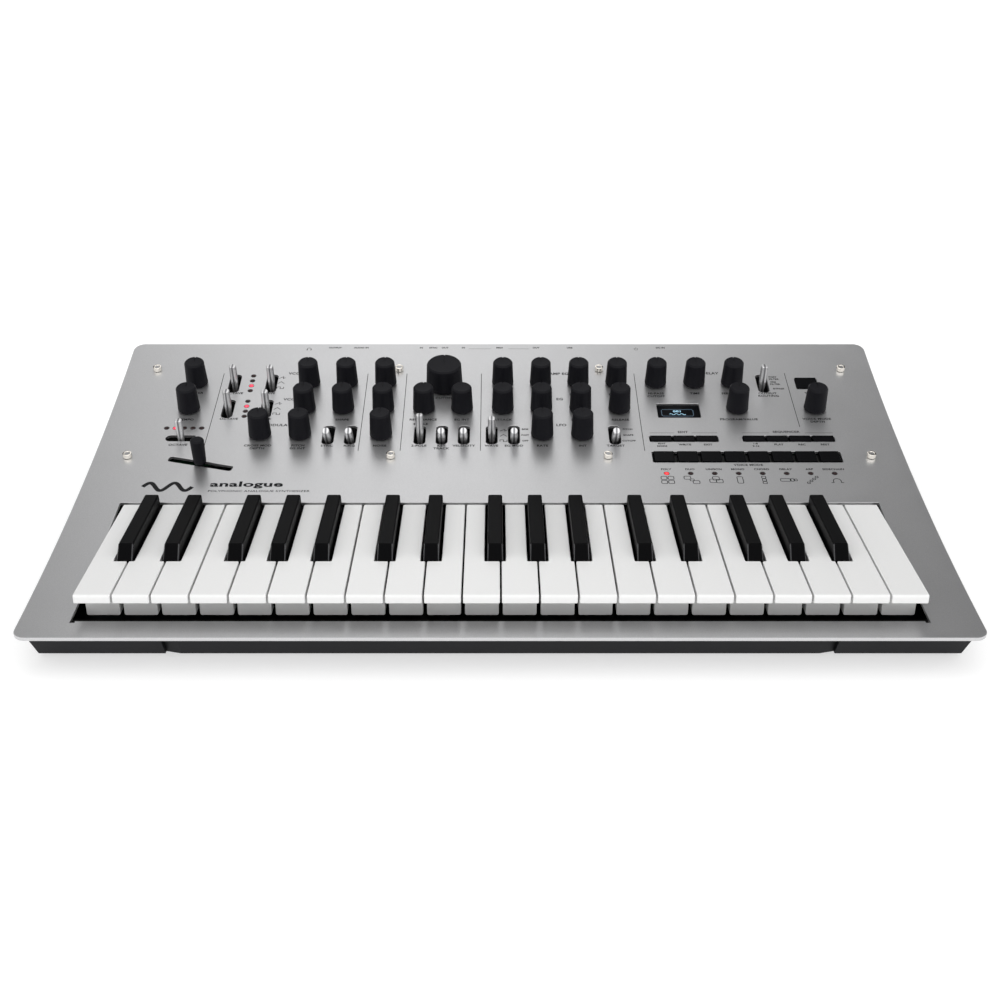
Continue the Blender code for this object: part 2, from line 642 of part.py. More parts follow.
def lever_outline(lean):
    """Side outline of a switch: square body at the pivot and a lever, thicker at its tip, off it."""
    body_half, body_foot, body_top = 4 * MM, -12.4 * MM, -6 * MM
    along = Vector((math.sin(lean), math.cos(lean)))
    across = Vector((math.cos(lean), -math.sin(lean)))
    pivot = Vector((0, -TOGGLE_PIVOT_DEPTH))
    root = pivot + along * 3.4 * MM
    tip = pivot + along * TOGGLE_REACH
    foot_half, tip_half = TOGGLE_ROOT / 2, TOGGLE_TIP / 2
    corners = [root + across * foot_half, tip + across * tip_half, tip - across * tip_half,
               root - across * foot_half]
    right, tip_right, tip_left, left = [(corner.x, corner.y) for corner in corners]
    return [(-body_half, body_foot), (body_half, body_foot), (body_half, body_top), right,
            tip_right, tip_left, left, (-body_half, body_top)]


def build_control_board():
    """Circuit board with its potentiometers, switches and the knobs and levers on them."""
    flat = on_panel(0, PCB_MIDDLE_Y)
    board = box_solid((PCB_LEFT, -PCB_HALF_DEPTH, PCB_BOTTOM), (PCB_RIGHT, PCB_HALF_DEPTH, PCB_TOP))
    board.transform(flat)
    part = add_part("control_board", board, "circuit_board")
    foot = PCB_BOTTOM + 0.5 * MM
    fixed = knob_profile(KNOB_TOP_RADIUS, KNOB_BASE_RADIUS, KNOB_HEIGHT, POT_TOP)[:-1]
    fixed += [(POT_RADIUS, POT_TOP), (POT_RADIUS, foot), (0, foot)]
    knob = turned_solid(fixed, 10)
    low_pot = turned_solid([(0, POT_TOP - GAP), (POT_RADIUS, POT_TOP - GAP), (POT_RADIUS, foot), (0, foot)], 10)
    pieces = [(knob, on_panel(x, y)) for x, y in fixed_knob_places()]
    pieces += [(low_pot, on_panel(x, y)) for x, y in turning_knob_places()]
    half = TOGGLE_TIP / 2
    for x, y, lean in TOGGLES:
        switch = outline_solid(lever_outline(math.radians(lean)), -half, half)
        switch.transform(SIDE_VIEW)
        pieces.append((switch, on_panel(x * MM, y * MM)))
    combine(part, "UNION", gathered(pieces))


def build_turning_knobs():
    foot = POT_TOP
    knob = turned_solid(knob_profile(KNOB_TOP_RADIUS, KNOB_BASE_RADIUS, KNOB_HEIGHT, foot), 16)
    for name, (x, y) in TURNING_KNOBS.items():
        add_part(name, knob.copy(), "soft_black", on_panel(x, y))
    cutoff = turned_solid(knob_profile(CUTOFF_TOP_RADIUS, CUTOFF_BASE_RADIUS, CUTOFF_HEIGHT, foot), 24)
    add_part("cutoff_knob", cutoff, "soft_black", on_panel(*CUTOFF_PLACE))


def build_levers():
    """Two switch levers that swing, and the sprung pitch-bend lever that slides."""
    foot, tip = TOGGLE_ROOT / 2, TOGGLE_TIP / 2
    lever = tapered_box((-foot, -foot, -2 * MM), (foot, foot, TOGGLE_REACH), (-tip, -tip), (tip, tip))
    below = Matrix.Translation((0, 0, -TOGGLE_PIVOT_DEPTH))
    rearward = Matrix.Rotation(-FILTER_LEAN, 4, "X")
    add_part("filter_toggle", lever, "chrome", on_panel(*FILTER_TOGGLE_PLACE) @ below @ rearward)
    add_part("octave_toggle", lever.copy(), "chrome", on_panel(*OCTAVE_TOGGLE_PLACE) @ below)
    radius, height = BEND_KNOB_RADIUS, BEND_KNOB_HEIGHT
    profile = [(0, height), (radius - 1.5 * MM, height - 0.4 * MM), (radius, height - 2.5 * MM),
               (radius * 0.85, MM), (1.8 * MM, MM), (1.8 * MM, -4.5 * MM), (4 * MM, -4.5 * MM),
               (4 * MM, -7.5 * MM), (0, -7.5 * MM)]
    turn = Matrix.Rotation(BEND_ANGLE, 4, "Z")
    add_part("bend_lever", turned_solid(profile, 12), "soft_black", on_panel(*BEND_PLACE) @ turn)


def build_button_banks():
    """Rows of caps in a shared slot, each row on one silicone mat below the panel."""
    for name, (x, y, width, depth, count) in BUTTON_BANKS.items():
        margin = BUTTON_MAT_MARGIN
        mat = box_solid((-width / 2 - margin, -depth / 2 - margin, BUTTON_MAT_BOTTOM),
                        (width / 2 + margin, depth / 2 + margin, BUTTON_MAT_TOP))
        part = add_part(name, mat, "soft_black", on_panel(x, y))
        pitch = width / count
        half_cap = pitch / 2 - BUTTON_SIDE_PLAY[name]
        half_depth = depth / 2 - BUTTON_PLAY
        cap = box_solid((-half_cap, -half_depth, BUTTON_MAT_TOP - 0.6 * MM), (half_cap, half_depth, BUTTON_RISE))
        caps = []
        for place in range(count):
            caps.append((cap, Matrix.Translation(((place + 0.5) * pitch - width / 2, 0, 0))))
        combine(part, "UNION", gathered(caps))


def build_display():
    width, depth = DISPLAY_SIZE
    module = box_solid((-width / 2 - MM, -depth / 2 - MM, -6 * MM), (width / 2 + MM, depth / 2 + MM, -2.5 * MM))
    add_part("display_module", module, "display_glass", on_panel(*DISPLAY_PLACE))


def build_panel_bracket():
    """Steel frame below the panel with its eight legs, and the cap screws that hold it."""
    flat = on_panel(0, PCB_MIDDLE_Y)
    rise = math.cos(panel_slope(PCB_MIDDLE_Y))
    rail_y = [(y - PCB_MIDDLE_Y) / rise for y in SCREW_Y]
    half = BRACKET_RAIL_HALF
    end = SCREW_X[-1] + half
    outer = box_solid((-end, rail_y[0] - half, BRACKET_BOTTOM), (end, rail_y[1] + half, BRACKET_TOP))
    outer.transform(flat)
    part = add_part("panel_bracket", outer, "steel")
    inner = box_solid((-end + 2 * half, rail_y[0] + half, -0.1), (end - 2 * half, rail_y[1] - half, 0.1))
    inner.transform(flat)
    combine(part, "DIFFERENCE", inner)
    head = [(0, SCREW_HEAD_HEIGHT + GAP), (SCREW_HEAD_RADIUS, SCREW_HEAD_HEIGHT + GAP), (SCREW_HEAD_RADIUS, GAP),
            (SCREW_SHANK_RADIUS, GAP), (SCREW_SHANK_RADIUS, -PANEL_THICKNESS - GAP),
            (LEG_HALF, -PANEL_THICKNESS - GAP), (LEG_HALF, BRACKET_TOP - MM), (0, BRACKET_TOP - MM)]
    screw = turned_solid(head, 10)
    posts = []
    for x, y in screw_places():
        posts.append((screw, on_panel(x, y)))
    combine(part, "UNION", gathered(posts))
    legs = []
    for place in screw_places():
        x, y, top = on_panel(*place) @ Vector((0, 0, BRACKET_TOP - MM))
        leg = box_solid((x - LEG_HALF, y - LEG_HALF, LEG_FOOT), (x + LEG_HALF, y + LEG_HALF, top))
        legs.append((leg, Matrix()))
    combine(part, "UNION", gathered(legs))


def build_feet():
    """Two rubber strips that the case stands on."""
    half, width = 225 * MM, 10 * MM
    for name, y in (("front_foot_strip", -110 * MM), ("rear_foot_strip", 130 * MM)):
        strip = box_solid((-half, y - width / 2, 0), (half, y + width / 2, FOOT_HEIGHT))
        add_part(name, strip, "rubber")


def main():
    clear_scene()
    build_top_panel()
    build_lower_case()
    build_rear_board()
    build_jack_board()
    build_power_button()
    build_key_frame()
    build_keys()
    build_control_board()
    build_turning_knobs()
    build_levers()
    build_button_banks()
    build_display()
    build_panel_bracket()
    build_feet()


main()
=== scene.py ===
import math

import bmesh
import bpy
from mathutils import Matrix, Vector


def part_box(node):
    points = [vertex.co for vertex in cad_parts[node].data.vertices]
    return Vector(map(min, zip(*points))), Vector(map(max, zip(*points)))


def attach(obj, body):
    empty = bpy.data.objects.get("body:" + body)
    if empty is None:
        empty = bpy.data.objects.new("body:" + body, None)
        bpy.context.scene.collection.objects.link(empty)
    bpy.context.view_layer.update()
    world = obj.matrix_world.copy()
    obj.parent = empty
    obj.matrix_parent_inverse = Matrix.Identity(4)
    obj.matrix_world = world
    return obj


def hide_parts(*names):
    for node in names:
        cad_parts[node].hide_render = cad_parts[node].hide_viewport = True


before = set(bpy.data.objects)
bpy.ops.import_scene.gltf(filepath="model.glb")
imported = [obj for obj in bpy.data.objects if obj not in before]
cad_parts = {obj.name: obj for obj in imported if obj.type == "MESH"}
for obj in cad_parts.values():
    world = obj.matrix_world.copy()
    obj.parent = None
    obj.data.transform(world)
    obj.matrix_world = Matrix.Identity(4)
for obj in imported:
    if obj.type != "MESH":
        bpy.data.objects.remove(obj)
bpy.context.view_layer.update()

MM = 0.001
BODY = "chassis"

# The rolled panel: the same arc as the frame's top_panel.
PANEL_LOW, PANEL_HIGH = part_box("top_panel")
PANEL_WIDTH = PANEL_HIGH[0] - PANEL_LOW[0]
PANEL_DEPTH = 300 * MM
PANEL_THICKNESS = 2 * MM
FRONT_HEIGHT = 22 * MM
FRONT_SLOPE = math.radians(4.7)
PANEL_RADIUS = 1482 * MM
OPENING_HALF, OPENING_FRONT, OPENING_REAR = 223.2, -135.2, -21.8
RELIEF_HALF, RELIEF_FRONT = 220.6, -136.6

# Control layout on the panel, in millimetres from its middle.
REAR_ROW, MIDDLE_ROW, FRONT_ROW, SWITCH_ROW = 105.5, 77, 48.7, 49.1
FIXED_KNOBS = {
    REAR_ROW: (-125.5, -100.5, -75, 2.4, 27.4, 52.2, 77.4, 103.5, 129, 154),
    MIDDLE_ROW: (-125.6, -100.7, -74.8, -24, 2.3, 27.2, 52.4, 77.6, 203.9),
    FRONT_ROW: (-150.7, -125.5, -74.5, 27, 52.2),
}
TURNING_KNOBS = {
    "resonance_knob": (-48.6, MIDDLE_ROW), "value_knob": (153.7, MIDDLE_ROW),
    "tempo_knob": (-200.4, MIDDLE_ROW), "master_knob": (-200, REAR_ROW),
}
CUTOFF = (-36.1, 103.2)
TOGGLES = (        # x, y and the lever's lean to the rear in degrees
    (-175.3, 105.6, 1), (-150.8, 105.6, 0), (-175.3, 77.7, 1), (-150.6, 77.7, 0),
    (-107.7, 49.1, -30), (-93.7, 49.1, -30), (-36.2, 49.1, -30), (-22.3, 49.1, -30),
    (-4.8, 49.1, -3), (9.2, 49.1, -30), (72.7, 49.1, -30), (174.5, 105.6, 1),
)
FILTER_TOGGLE = (-50.1, SWITCH_ROW)
FILTER_LEAN = 7.6
OCTAVE_TOGGLE = (-200, 45.6)
TOGGLE_PIVOT = -8 * MM
TOGGLE_REACH = 21.8 * MM
BEND = (-183.2, 18.5)
BEND_ANGLE = math.radians(-14.8)
BANKS = {          # centre, size, count of caps and half the gap between two caps
    "voice_mode": (152.7, 25.6, 116.8, 11.7, 8, 1.1), "sequencer": (181.7, 44.9, 57.9, 6.4, 4, 0.6),
    "edit": (115.9, 44.9, 43.3, 6.4, 3, 0.6), "tap": (203.7, 105.6, 14.8, 12.6, 1, 0.45),
}
DISPLAY = (115.8, 75.5, 27.6, 15.4)
SCREWS = [(x, y) for x in (-229.2, -67, 67, 229.2) for y in (25.5, 120.5)]
VOICE_PITCH = 14.55
VOICE_FIRST = 101.4

# Holes of the panel in millimetres: radii, then width, depth and corner radius.
KNOB_HOLE, SCREW_HOLE = 4, 1.9
TOGGLE_SLOT, OCTAVE_SLOT, BEND_SLOT = (7.4, 20, 2.8), (19.5, 6.6, 3.2), (42, 5.4, 1.6)
INK_THICKNESS, INK_LIFT = 0.008 * MM, 0.02 * MM


# ---- geometry helpers

def panel_height(y):
    centre_y = -PANEL_DEPTH / 2 - PANEL_RADIUS * math.sin(FRONT_SLOPE)
    centre_z = FRONT_HEIGHT + PANEL_RADIUS * math.cos(FRONT_SLOPE)
    return centre_z - math.sqrt(PANEL_RADIUS ** 2 - (y - centre_y) ** 2)


def panel_slope(y):
    return math.asin((y + PANEL_DEPTH / 2) / PANEL_RADIUS + math.sin(FRONT_SLOPE))


def on_panel(x, y):
    """Frame on the panel at a place in mm: local Z is the normal, local Y runs up the slope."""
    place = Matrix.Translation((x * MM, y * MM, panel_height(y * MM)))
    return place @ Matrix.Rotation(panel_slope(y * MM), 4, "X")


def lay_on_panel(mesh, lift=0.0):
    """Bends a flat drawing, made in panel metres, onto the panel's arc."""
    for vertex in mesh.vertices:
        x, y, z = vertex.co
        slope = panel_slope(y)
        rise = z + lift
        vertex.co = (x, y - rise * math.sin(slope), panel_height(y) + rise * math.cos(slope))


def baked(holder, weld=0.000001):
    """Final mesh of a temporary object, welded, and the object removed."""
    bpy.context.scene.collection.objects.link(holder)
    graph = bpy.context.evaluated_depsgraph_get()
    mesh = bpy.data.meshes.new_from_object(holder.evaluated_get(graph))
    bpy.data.objects.remove(holder)
    work = bmesh.new()
    work.from_mesh(mesh)
    bmesh.ops.remove_doubles(work, verts=work.verts, dist=weld)
    bmesh.ops.dissolve_degenerate(work, edges=work.edges, dist=weld)
    bmesh.ops.recalc_face_normals(work, faces=work.faces)
    work.to_mesh(mesh)
    work.free()
    return mesh


def flat_solid(outlines, low, high, bevel=0.0, steps=0):
    """Plate from closed outlines in metres (the first is the rim, the rest are holes)."""
    curve = bpy.data.curves.new("outline", "CURVE")
    curve.dimensions = "2D"
    curve.fill_mode = "BOTH"
    curve.extrude = (high - low) / 2 - bevel
    curve.bevel_depth = bevel
    curve.bevel_resolution = steps
    curve.offset = -bevel
    for outline in outlines:
        spline = curve.splines.new("POLY")
        spline.points.add(len(outline) - 1)
        for point, (x, y) in zip(spline.points, outline):
            point.co = (x, y, 0, 1)
        spline.use_cyclic_u = True
    mesh = baked(bpy.data.objects.new("outline", curve))
    mesh.transform(Matrix.Translation((0, 0, (low + high) / 2)))
    return mesh


def turned(profile, steps=48):
    """Solid of (radius, height) points in mm, from the axis down the outside and back."""
    mesh = bpy.data.meshes.new("profile")
    work = bmesh.new()
    corners = [work.verts.new((radius * MM, 0, height * MM)) for radius, height in profile]
    for first, second in zip(corners, corners[1:]):
        work.edges.new((first, second))
    work.to_mesh(mesh)
    work.free()
    holder = bpy.data.objects.new("profile", mesh)
    screw = holder.modifiers.new("turn", "SCREW")
    screw.steps = screw.render_steps = steps
    screw.use_merge_vertices = True
    screw.merge_threshold = 0.000001
    return baked(holder)


def box(low, high, bevel=0.0, steps=2):
    """Box between two corners in mm, with rounded edges."""
    low, high = (Vector([value * MM for value in corner]) for corner in (low, high))
    work = bmesh.new()
    bmesh.ops.create_cube(work, size=1, matrix=Matrix.LocRotScale((high + low) / 2, None, high - low))
    if bevel:
        bmesh.ops.bevel(work, geom=work.edges[:], offset=bevel * MM, segments=steps, profile=0.5,
                        affect="EDGES", clamp_overlap=True)
    mesh = bpy.data.meshes.new("box")
    work.to_mesh(mesh)
    work.free()
    return mesh


def slice_all(work, point, normal):
    """Cuts every face of a mesh in work along a plane."""
    everything = work.verts[:] + work.edges[:] + work.faces[:]
    bmesh.ops.bisect_plane(work, geom=everything, plane_co=point, plane_no=normal)


def gathered(pieces):
    """One mesh from (mesh, matrix) pairs."""
    work = bmesh.new()
    for piece, matrix in pieces:
        copy = piece.copy()
        copy.transform(matrix)
        work.from_mesh(copy)
        bpy.data.meshes.remove(copy)
    mesh = bpy.data.meshes.new("gathered")
    work.to_mesh(mesh)
    work.free()
    return mesh


def boolean(mesh, other, operation):
    """Exact Boolean of two meshes."""
    holder = bpy.data.objects.new("target", mesh)
    tool = bpy.data.objects.new("tool", other)
    bpy.context.scene.collection.objects.link(tool)
    cut = holder.modifiers.new("cut", "BOOLEAN")
    cut.operation = operation
    cut.solver = "EXACT"
    cut.object = tool
    result = baked(holder)
    bpy.data.objects.remove(tool)
    return result


def circle(radius, steps, centre=(0, 0)):
    turn = 2 * math.pi / steps
    return [(centre[0] + radius * math.cos(turn * i), centre[1] + radius * math.sin(turn * i))
            for i in range(steps)]


def arc(centre, radius, start, end, steps):
    points = []
    for step in range(steps + 1):
        angle = math.radians(start + (end - start) * step / steps)
        points.append((centre[0] + radius * math.cos(angle), centre[1] + radius * math.sin(angle)))
    return points


def round_rectangle(centre, width, depth, radius, steps=5, turn=0.0):
    """Outline of a rounded rectangle, in the units of its arguments."""
    points = []
    for side_x, side_y, start in ((1, 1, 0), (-1, 1, 90), (-1, -1, 180), (1, -1, 270)):
        for step in range(steps + 1):
            angle = math.radians(start + 90 * step / steps)
            x = side_x * (width / 2 - radius) + radius * math.cos(angle)
            y = side_y * (depth / 2 - radius) + radius * math.sin(angle)
            points.append((centre[0] + x * math.cos(turn) - y * math.sin(turn),
                           centre[1] + x * math.sin(turn) + y * math.cos(turn)))
    return points


def scaled(points):
    return [(x * MM, y * MM) for x, y in points]


def piece(name, mesh, mat, body=BODY, matrix=None, stands_for=(), slot=None, sharp=32):
    """Named, shaded and riding piece of the instrument."""
    part = bpy.data.objects.new(name, mesh)
    bpy.context.scene.collection.objects.link(part)
    if matrix is not None:
        part.matrix_world = matrix
    if not mesh.materials:
        mesh.materials.append(mat)
        mesh.shade_smooth()
        mesh.set_sharp_from_angle(angle=math.radians(sharp))
    weighted = part.modifiers.new("normals", "WEIGHTED_NORMAL")
    weighted.keep_sharp = True
    bpy.context.view_layer.update()
    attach(part, body)
    if stands_for:
        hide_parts(*stands_for)
    return part


# ---- materials

def graded(tree, value, start, end, low, high):
    """Smooth step from one level to another along a value."""
    node = tree.nodes.new("ShaderNodeMapRange")
    node.interpolation_type = "SMOOTHSTEP"
    for socket, number in zip(("From Min", "From Max", "To Min", "To Max"), (start, end, low, high)):
        node.inputs[socket].default_value = number
    tree.links.new(value, node.inputs["Value"])
    return node.outputs["Result"]


def arithmetic(tree, operation, *values):
    node = tree.nodes.new("ShaderNodeMath")
    node.operation = operation
    for socket, value in zip(node.inputs, values):
        if isinstance(value, (int, float)):
            socket.default_value = value
        else:
            tree.links.new(value, socket)
    return node.outputs["Value"]


def new_material(name, colour, roughness, metallic=0.0, **settings):
    mat = bpy.data.materials.new(name)
    mat.use_nodes = True
    shader = mat.node_tree.nodes["Principled BSDF"]
    shader.inputs["Base Color"].default_value = (*colour, 1)
    shader.inputs["Roughness"].default_value = roughness
    shader.inputs["Metallic"].default_value = metallic
    for socket, value in settings.items():
        shader.inputs[socket.replace("_", " ")].default_value = value
    return mat


def coordinates(mat, stretch=(1, 1, 1)):
    nodes, links = mat.node_tree.nodes, mat.node_tree.links
    place = nodes.new("ShaderNodeTexCoord")
    mapping = nodes.new("ShaderNodeMapping")
    mapping.inputs["Scale"].default_value = stretch
    links.new(place.outputs["Object"], mapping.inputs["Vector"])
    return mapping.outputs["Vector"]


def noise(mat, vector, scale, detail=3, roughness=0.55):
    node = mat.node_tree.nodes.new("ShaderNodeTexNoise")
    node.inputs["Scale"].default_value = scale
    node.inputs["Detail"].default_value = detail
    node.inputs["Roughness"].default_value = roughness
    mat.node_tree.links.new(vector, node.inputs["Vector"])
    return node.outputs["Fac"]


def ramp(mat, factor, stops):
    """Colour ramp whose stops are (position, grey or colour)."""
    node = mat.node_tree.nodes.new("ShaderNodeValToRGB")
    band = node.color_ramp
    while len(band.elements) < len(stops):
        band.elements.new(0.5)
    for element, (position, value) in zip(band.elements, stops):
        colour = value if isinstance(value, tuple) else (value, value, value)
        element.position = position
        element.color = (*colour, 1)
    mat.node_tree.links.new(factor, node.inputs["Fac"])
    return node.outputs["Color"]


def connect(mat, output, socket):
    mat.node_tree.links.new(output, mat.node_tree.nodes["Principled BSDF"].inputs[socket])


def add_bump(mat, height, strength, distance):
    node = mat.node_tree.nodes.new("ShaderNodeBump")
    node.inputs["Strength"].default_value = strength
    node.inputs["Distance"].default_value = distance
    mat.node_tree.links.new(height, node.inputs["Height"])
    connect(mat, node.outputs["Normal"], "Normal")


def grained(name, colour, roughness, metallic=0.0, grain=900, depth=0.00002, tint=0.12, **settings):
    """Material with a fine grain: colour and roughness vary a little, and the surface is bumped."""
    mat = new_material(name, colour, roughness, metallic, **settings)
    vector = coordinates(mat)
    fine = noise(mat, vector, grain, 4)
    broad = noise(mat, vector, grain / 40, 3)
    dark = tuple(channel * (1 - tint) for channel in colour)
    light = tuple(min(1, channel * (1 + tint)) for channel in colour)
    connect(mat, ramp(mat, fine, ((0.3, dark), (0.7, light))), "Base Color")
    low, high = roughness * 0.97, min(1, roughness * 1.03)
    connect(mat, ramp(mat, broad, ((0.3, low), (0.7, high))), "Roughness")
    add_bump(mat, fine, 0.5, depth)
    return mat


def wood_material():
    mat = new_material("oiled_hardwood", (0.2, 0.08, 0.035), 0.45, Coat_Weight=0.15)
    vector = coordinates(mat, (3, 30, 30))
    flow = noise(mat, vector, 6, 6, 0.6)
    pores = noise(mat, coordinates(mat, (20, 420, 420)), 4, 4)
    tone = ramp(mat, flow, ((0.25, (0.085, 0.028, 0.012)), (0.5, (0.20, 0.075, 0.030)),
                            (0.75, (0.33, 0.145, 0.06))))
    mix = mat.node_tree.nodes.new("ShaderNodeMix")
    mix.data_type = "RGBA"
    mix.blend_type = "MULTIPLY"
    mix.inputs[0].default_value = 0.8
    mat.node_tree.links.new(tone, mix.inputs[6])
    mat.node_tree.links.new(ramp(mat, pores, ((0.35, 0.55), (0.55, 1.0))), mix.inputs[7])
    connect(mat, mix.outputs[2], "Base Color")
    connect(mat, ramp(mat, pores, ((0.3, 0.6), (0.6, 0.4))), "Roughness")
    add_bump(mat, pores, 0.4, 0.0002)
    return mat


def glow_material(name, colour, strength):
    """Lit lamp: its glow varies a little through the noise of its diffuser."""
    mat = new_material(name, colour, 0.3, Emission_Strength=strength, Coat_Weight=0.5)
    diffuser = noise(mat, coordinates(mat), 600, 2)
    bright = tuple(min(1, channel * 1.25 + 0.05) for channel in colour)
    connect(mat, ramp(mat, diffuser, ((0.3, colour), (0.7, bright))), "Emission Color")
    return mat


def chrome_with_painted_streaks():
    """Plated lever with painted reflections: its colour has a dark line down its front and back between two
    bright streaks.
    """
    mat = new_material("lever_chrome_painted_streaks", (0.5, 0.5, 0.5), 0.3, 0.7)
    axes = mat.node_tree.nodes.new("ShaderNodeSeparateXYZ")
    mat.node_tree.links.new(coordinates(mat), axes.inputs["Vector"])
    painted_streak_position = arithmetic(mat.node_tree, "ABSOLUTE", axes.outputs["X"])
    painted_streak_position = arithmetic(mat.node_tree, "DIVIDE", painted_streak_position, 2.4 * MM)
    # painted reflections: a dark middle, bright streaks, then darker sides across the lever
    stops = ((0.0, (0.16, 0.16, 0.17)), (0.16, (0.24, 0.24, 0.25)), (0.34, (0.74, 0.74, 0.74)),
             (0.7, (0.62, 0.62, 0.63)), (1.0, (0.28, 0.28, 0.29)))
    connect(mat, ramp(mat, painted_streak_position, stops), "Base Color")
    fine = noise(mat, coordinates(mat), 1400, 3)
    connect(mat, ramp(mat, fine, ((0.3, 0.26), (0.7, 0.36))), "Roughness")
    return mat


ALUMINIUM = grained("blasted_aluminium", (0.58, 0.58, 0.587), 0.34, 0.90, 2600, 0.00003, 0.10)
CASE = grained("charcoal_moulding", (0.0062, 0.0062, 0.0078), 0.55, 0.0, 1500, 0.00005, 0.2,
               Specular_IOR_Level=0.15)
KNOB = grained("soft_touch_black", (0.0046, 0.0046, 0.0066), 0.5, 0.0, 1800, 0.00003, 0.2,
               Specular_IOR_Level=0.12)
WHITE = grained("satin_white_key", (0.75, 0.75, 0.745), 0.30, 0.0, 700, 0.000006, 0.008,
                Coat_Weight=0.15, Coat_Roughness=0.2)
BLACK = grained("satin_black_key", (0.0018, 0.0018, 0.0021), 0.38, 0.0, 1600, 0.00002, 0.15,
                Specular_IOR_Level=0.03)
# lighter, glossier black for the keys' front edges: its gloss catches real reflections, and its lighter
# colour is a painted highlight
BLACK_EDGE_HIGHLIGHT = grained("black_edge_painted_highlight", (0.014, 0.014, 0.017), 0.25, 0.0, 1600, 0.00001, 0.2,
                     Specular_IOR_Level=0.8)
CHROME = chrome_with_painted_streaks()
NICKEL = grained("nickel_screw", (0.88, 0.84, 0.77), 0.18, 1.0, 900, 0.00001, 0.08)
GLOSS = grained("smoked_button", (0.0024, 0.0024, 0.0030), 0.3, 0.0, 900, 0.00001, 0.2,
                Specular_IOR_Level=0.05)
SOCKET = grained("socket_black", (0.006, 0.006, 0.0065), 0.42, 0.0, 1200, 0.00003, 0.2,
                 Specular_IOR_Level=0.2)
STEEL = grained("bracket_steel", (0.42, 0.42, 0.43), 0.35, 1.0, 700, 0.00002, 0.1)
SCREW_SOCKET = grained("screw_socket", (0.055, 0.034, 0.018), 0.6, 0.0, 900, 0.00001, 0.3)
BOARD = grained("board_mask", (0.015, 0.09, 0.04), 0.4, 0.0, 300, 0.00003, 0.35)
RUBBER = grained("foot_rubber", (0.02, 0.02, 0.02), 0.85, 0.0, 1200, 0.00006, 0.2)
FRAME_PLASTIC = grained("frame_plastic", (0.004, 0.004, 0.0045), 0.6, 0.0, 900, 0.00004, 0.2,
                        Specular_IOR_Level=0.1)
INK = grained("panel_ink", (0.007, 0.007, 0.008), 0.6, 0.0, 1500, 0.00001, 0.3,
               Specular_IOR_Level=0.15)
PALE_INK = grained("pale_ink", (0.62, 0.62, 0.62), 0.5, 0.0, 1500, 0.00001, 0.1)
LAMP_OFF = grained("lamp_unlit", (0.016, 0.004, 0.004), 0.28, 0.0, 700, 0.00001, 0.25,
                   Specular_IOR_Level=0.3)
LAMP_PINK = glow_material("lamp_lit", (0.85, 0.018, 0.06), 0.9)
LAMP_RED = glow_material("lamp_red", (0.85, 0.006, 0.012), 1.0)
SCREEN = grained("display_glass", (0.002, 0.0022, 0.003), 0.3, 0.0, 500, 0.000005, 0.2,
                 Specular_IOR_Level=0.05)
SCREEN_GLOW = glow_material("display_pixels", (0.34, 0.62, 0.80), 0.7)
SCREEN_DIM = glow_material("display_frame", (0.10, 0.16, 0.22), 0.5)
WOOD = wood_material()


# ---- panel

def knob_places():
    places = [(x, y) for y, row in FIXED_KNOBS.items() for x in row]
    return places + [*TURNING_KNOBS.values(), CUTOFF]


def toggle_places():
    return [(x, y) for x, y, lean in TOGGLES] + [FILTER_TOGGLE]


def build_panel():
    """Rolled aluminium sheet with every hole, and a bright chamfer on all its edges."""
    outer = round_rectangle((0, 0), PANEL_WIDTH / MM, PANEL_DEPTH / MM, 7, 12)
    holes = [circle(KNOB_HOLE, 32, place) for place in knob_places()]
    holes += [circle(SCREW_HOLE, 20, place) for place in SCREWS]
    holes += [round_rectangle(place, *TOGGLE_SLOT, 7) for place in toggle_places()]
    holes.append(round_rectangle(OCTAVE_TOGGLE, *OCTAVE_SLOT, 7))
    holes.append(round_rectangle(BEND, *BEND_SLOT, 5, BEND_ANGLE))
    for x, y, width, depth, count, play in BANKS.values():
        holes.append(round_rectangle((x, y), width, depth, 1, 4))
    holes.append(round_rectangle(DISPLAY[:2], DISPLAY[2], DISPLAY[3], 0.8, 4))
    half, inner = OPENING_HALF, RELIEF_HALF
    holes.append([(half, OPENING_REAR), (-half, OPENING_REAR), (-half, RELIEF_FRONT),
                  (-inner, RELIEF_FRONT), (-inner, OPENING_FRONT), (inner, OPENING_FRONT),
                  (inner, RELIEF_FRONT), (half, RELIEF_FRONT)])
    chamfer = 0.12 * MM
    mesh = flat_solid([scaled(outline) for outline in [outer] + holes], -PANEL_THICKNESS, 0, chamfer)
    work = bmesh.new()
    work.from_mesh(mesh)
    strips = 60
    for strip in range(1, strips):
        y = PANEL_DEPTH * (strip / strips - 0.5) + 0.03 * MM
        slice_all(work, (0, y, 0), (0, 1, 0))
    work.to_mesh(mesh)
    work.free()
    lay_on_panel(mesh)
    piece("panel_sheet", mesh, ALUMINIUM, stands_for=("top_panel",), slot="aluminium", sharp=25)


# ---- printed legends

def text(words, size, stretch=1.02, weight=0.08):
    """Centred line of text as a thin solid, its letters 'size' mm high."""
    curve = bpy.data.curves.new("text", "FONT")
    curve.body = words
    curve.size = size / 0.72 * MM
    curve.align_x = "CENTER"
    curve.align_y = "CENTER"
    curve.space_character = 1.06
    curve.resolution_u = 3
    curve.extrude = INK_THICKNESS
    curve.offset = weight * MM
    mesh = baked(bpy.data.objects.new("text", curve), 0.0000001)
    mesh.transform(Matrix.Diagonal((stretch, 1, 1, 1)))
    return mesh


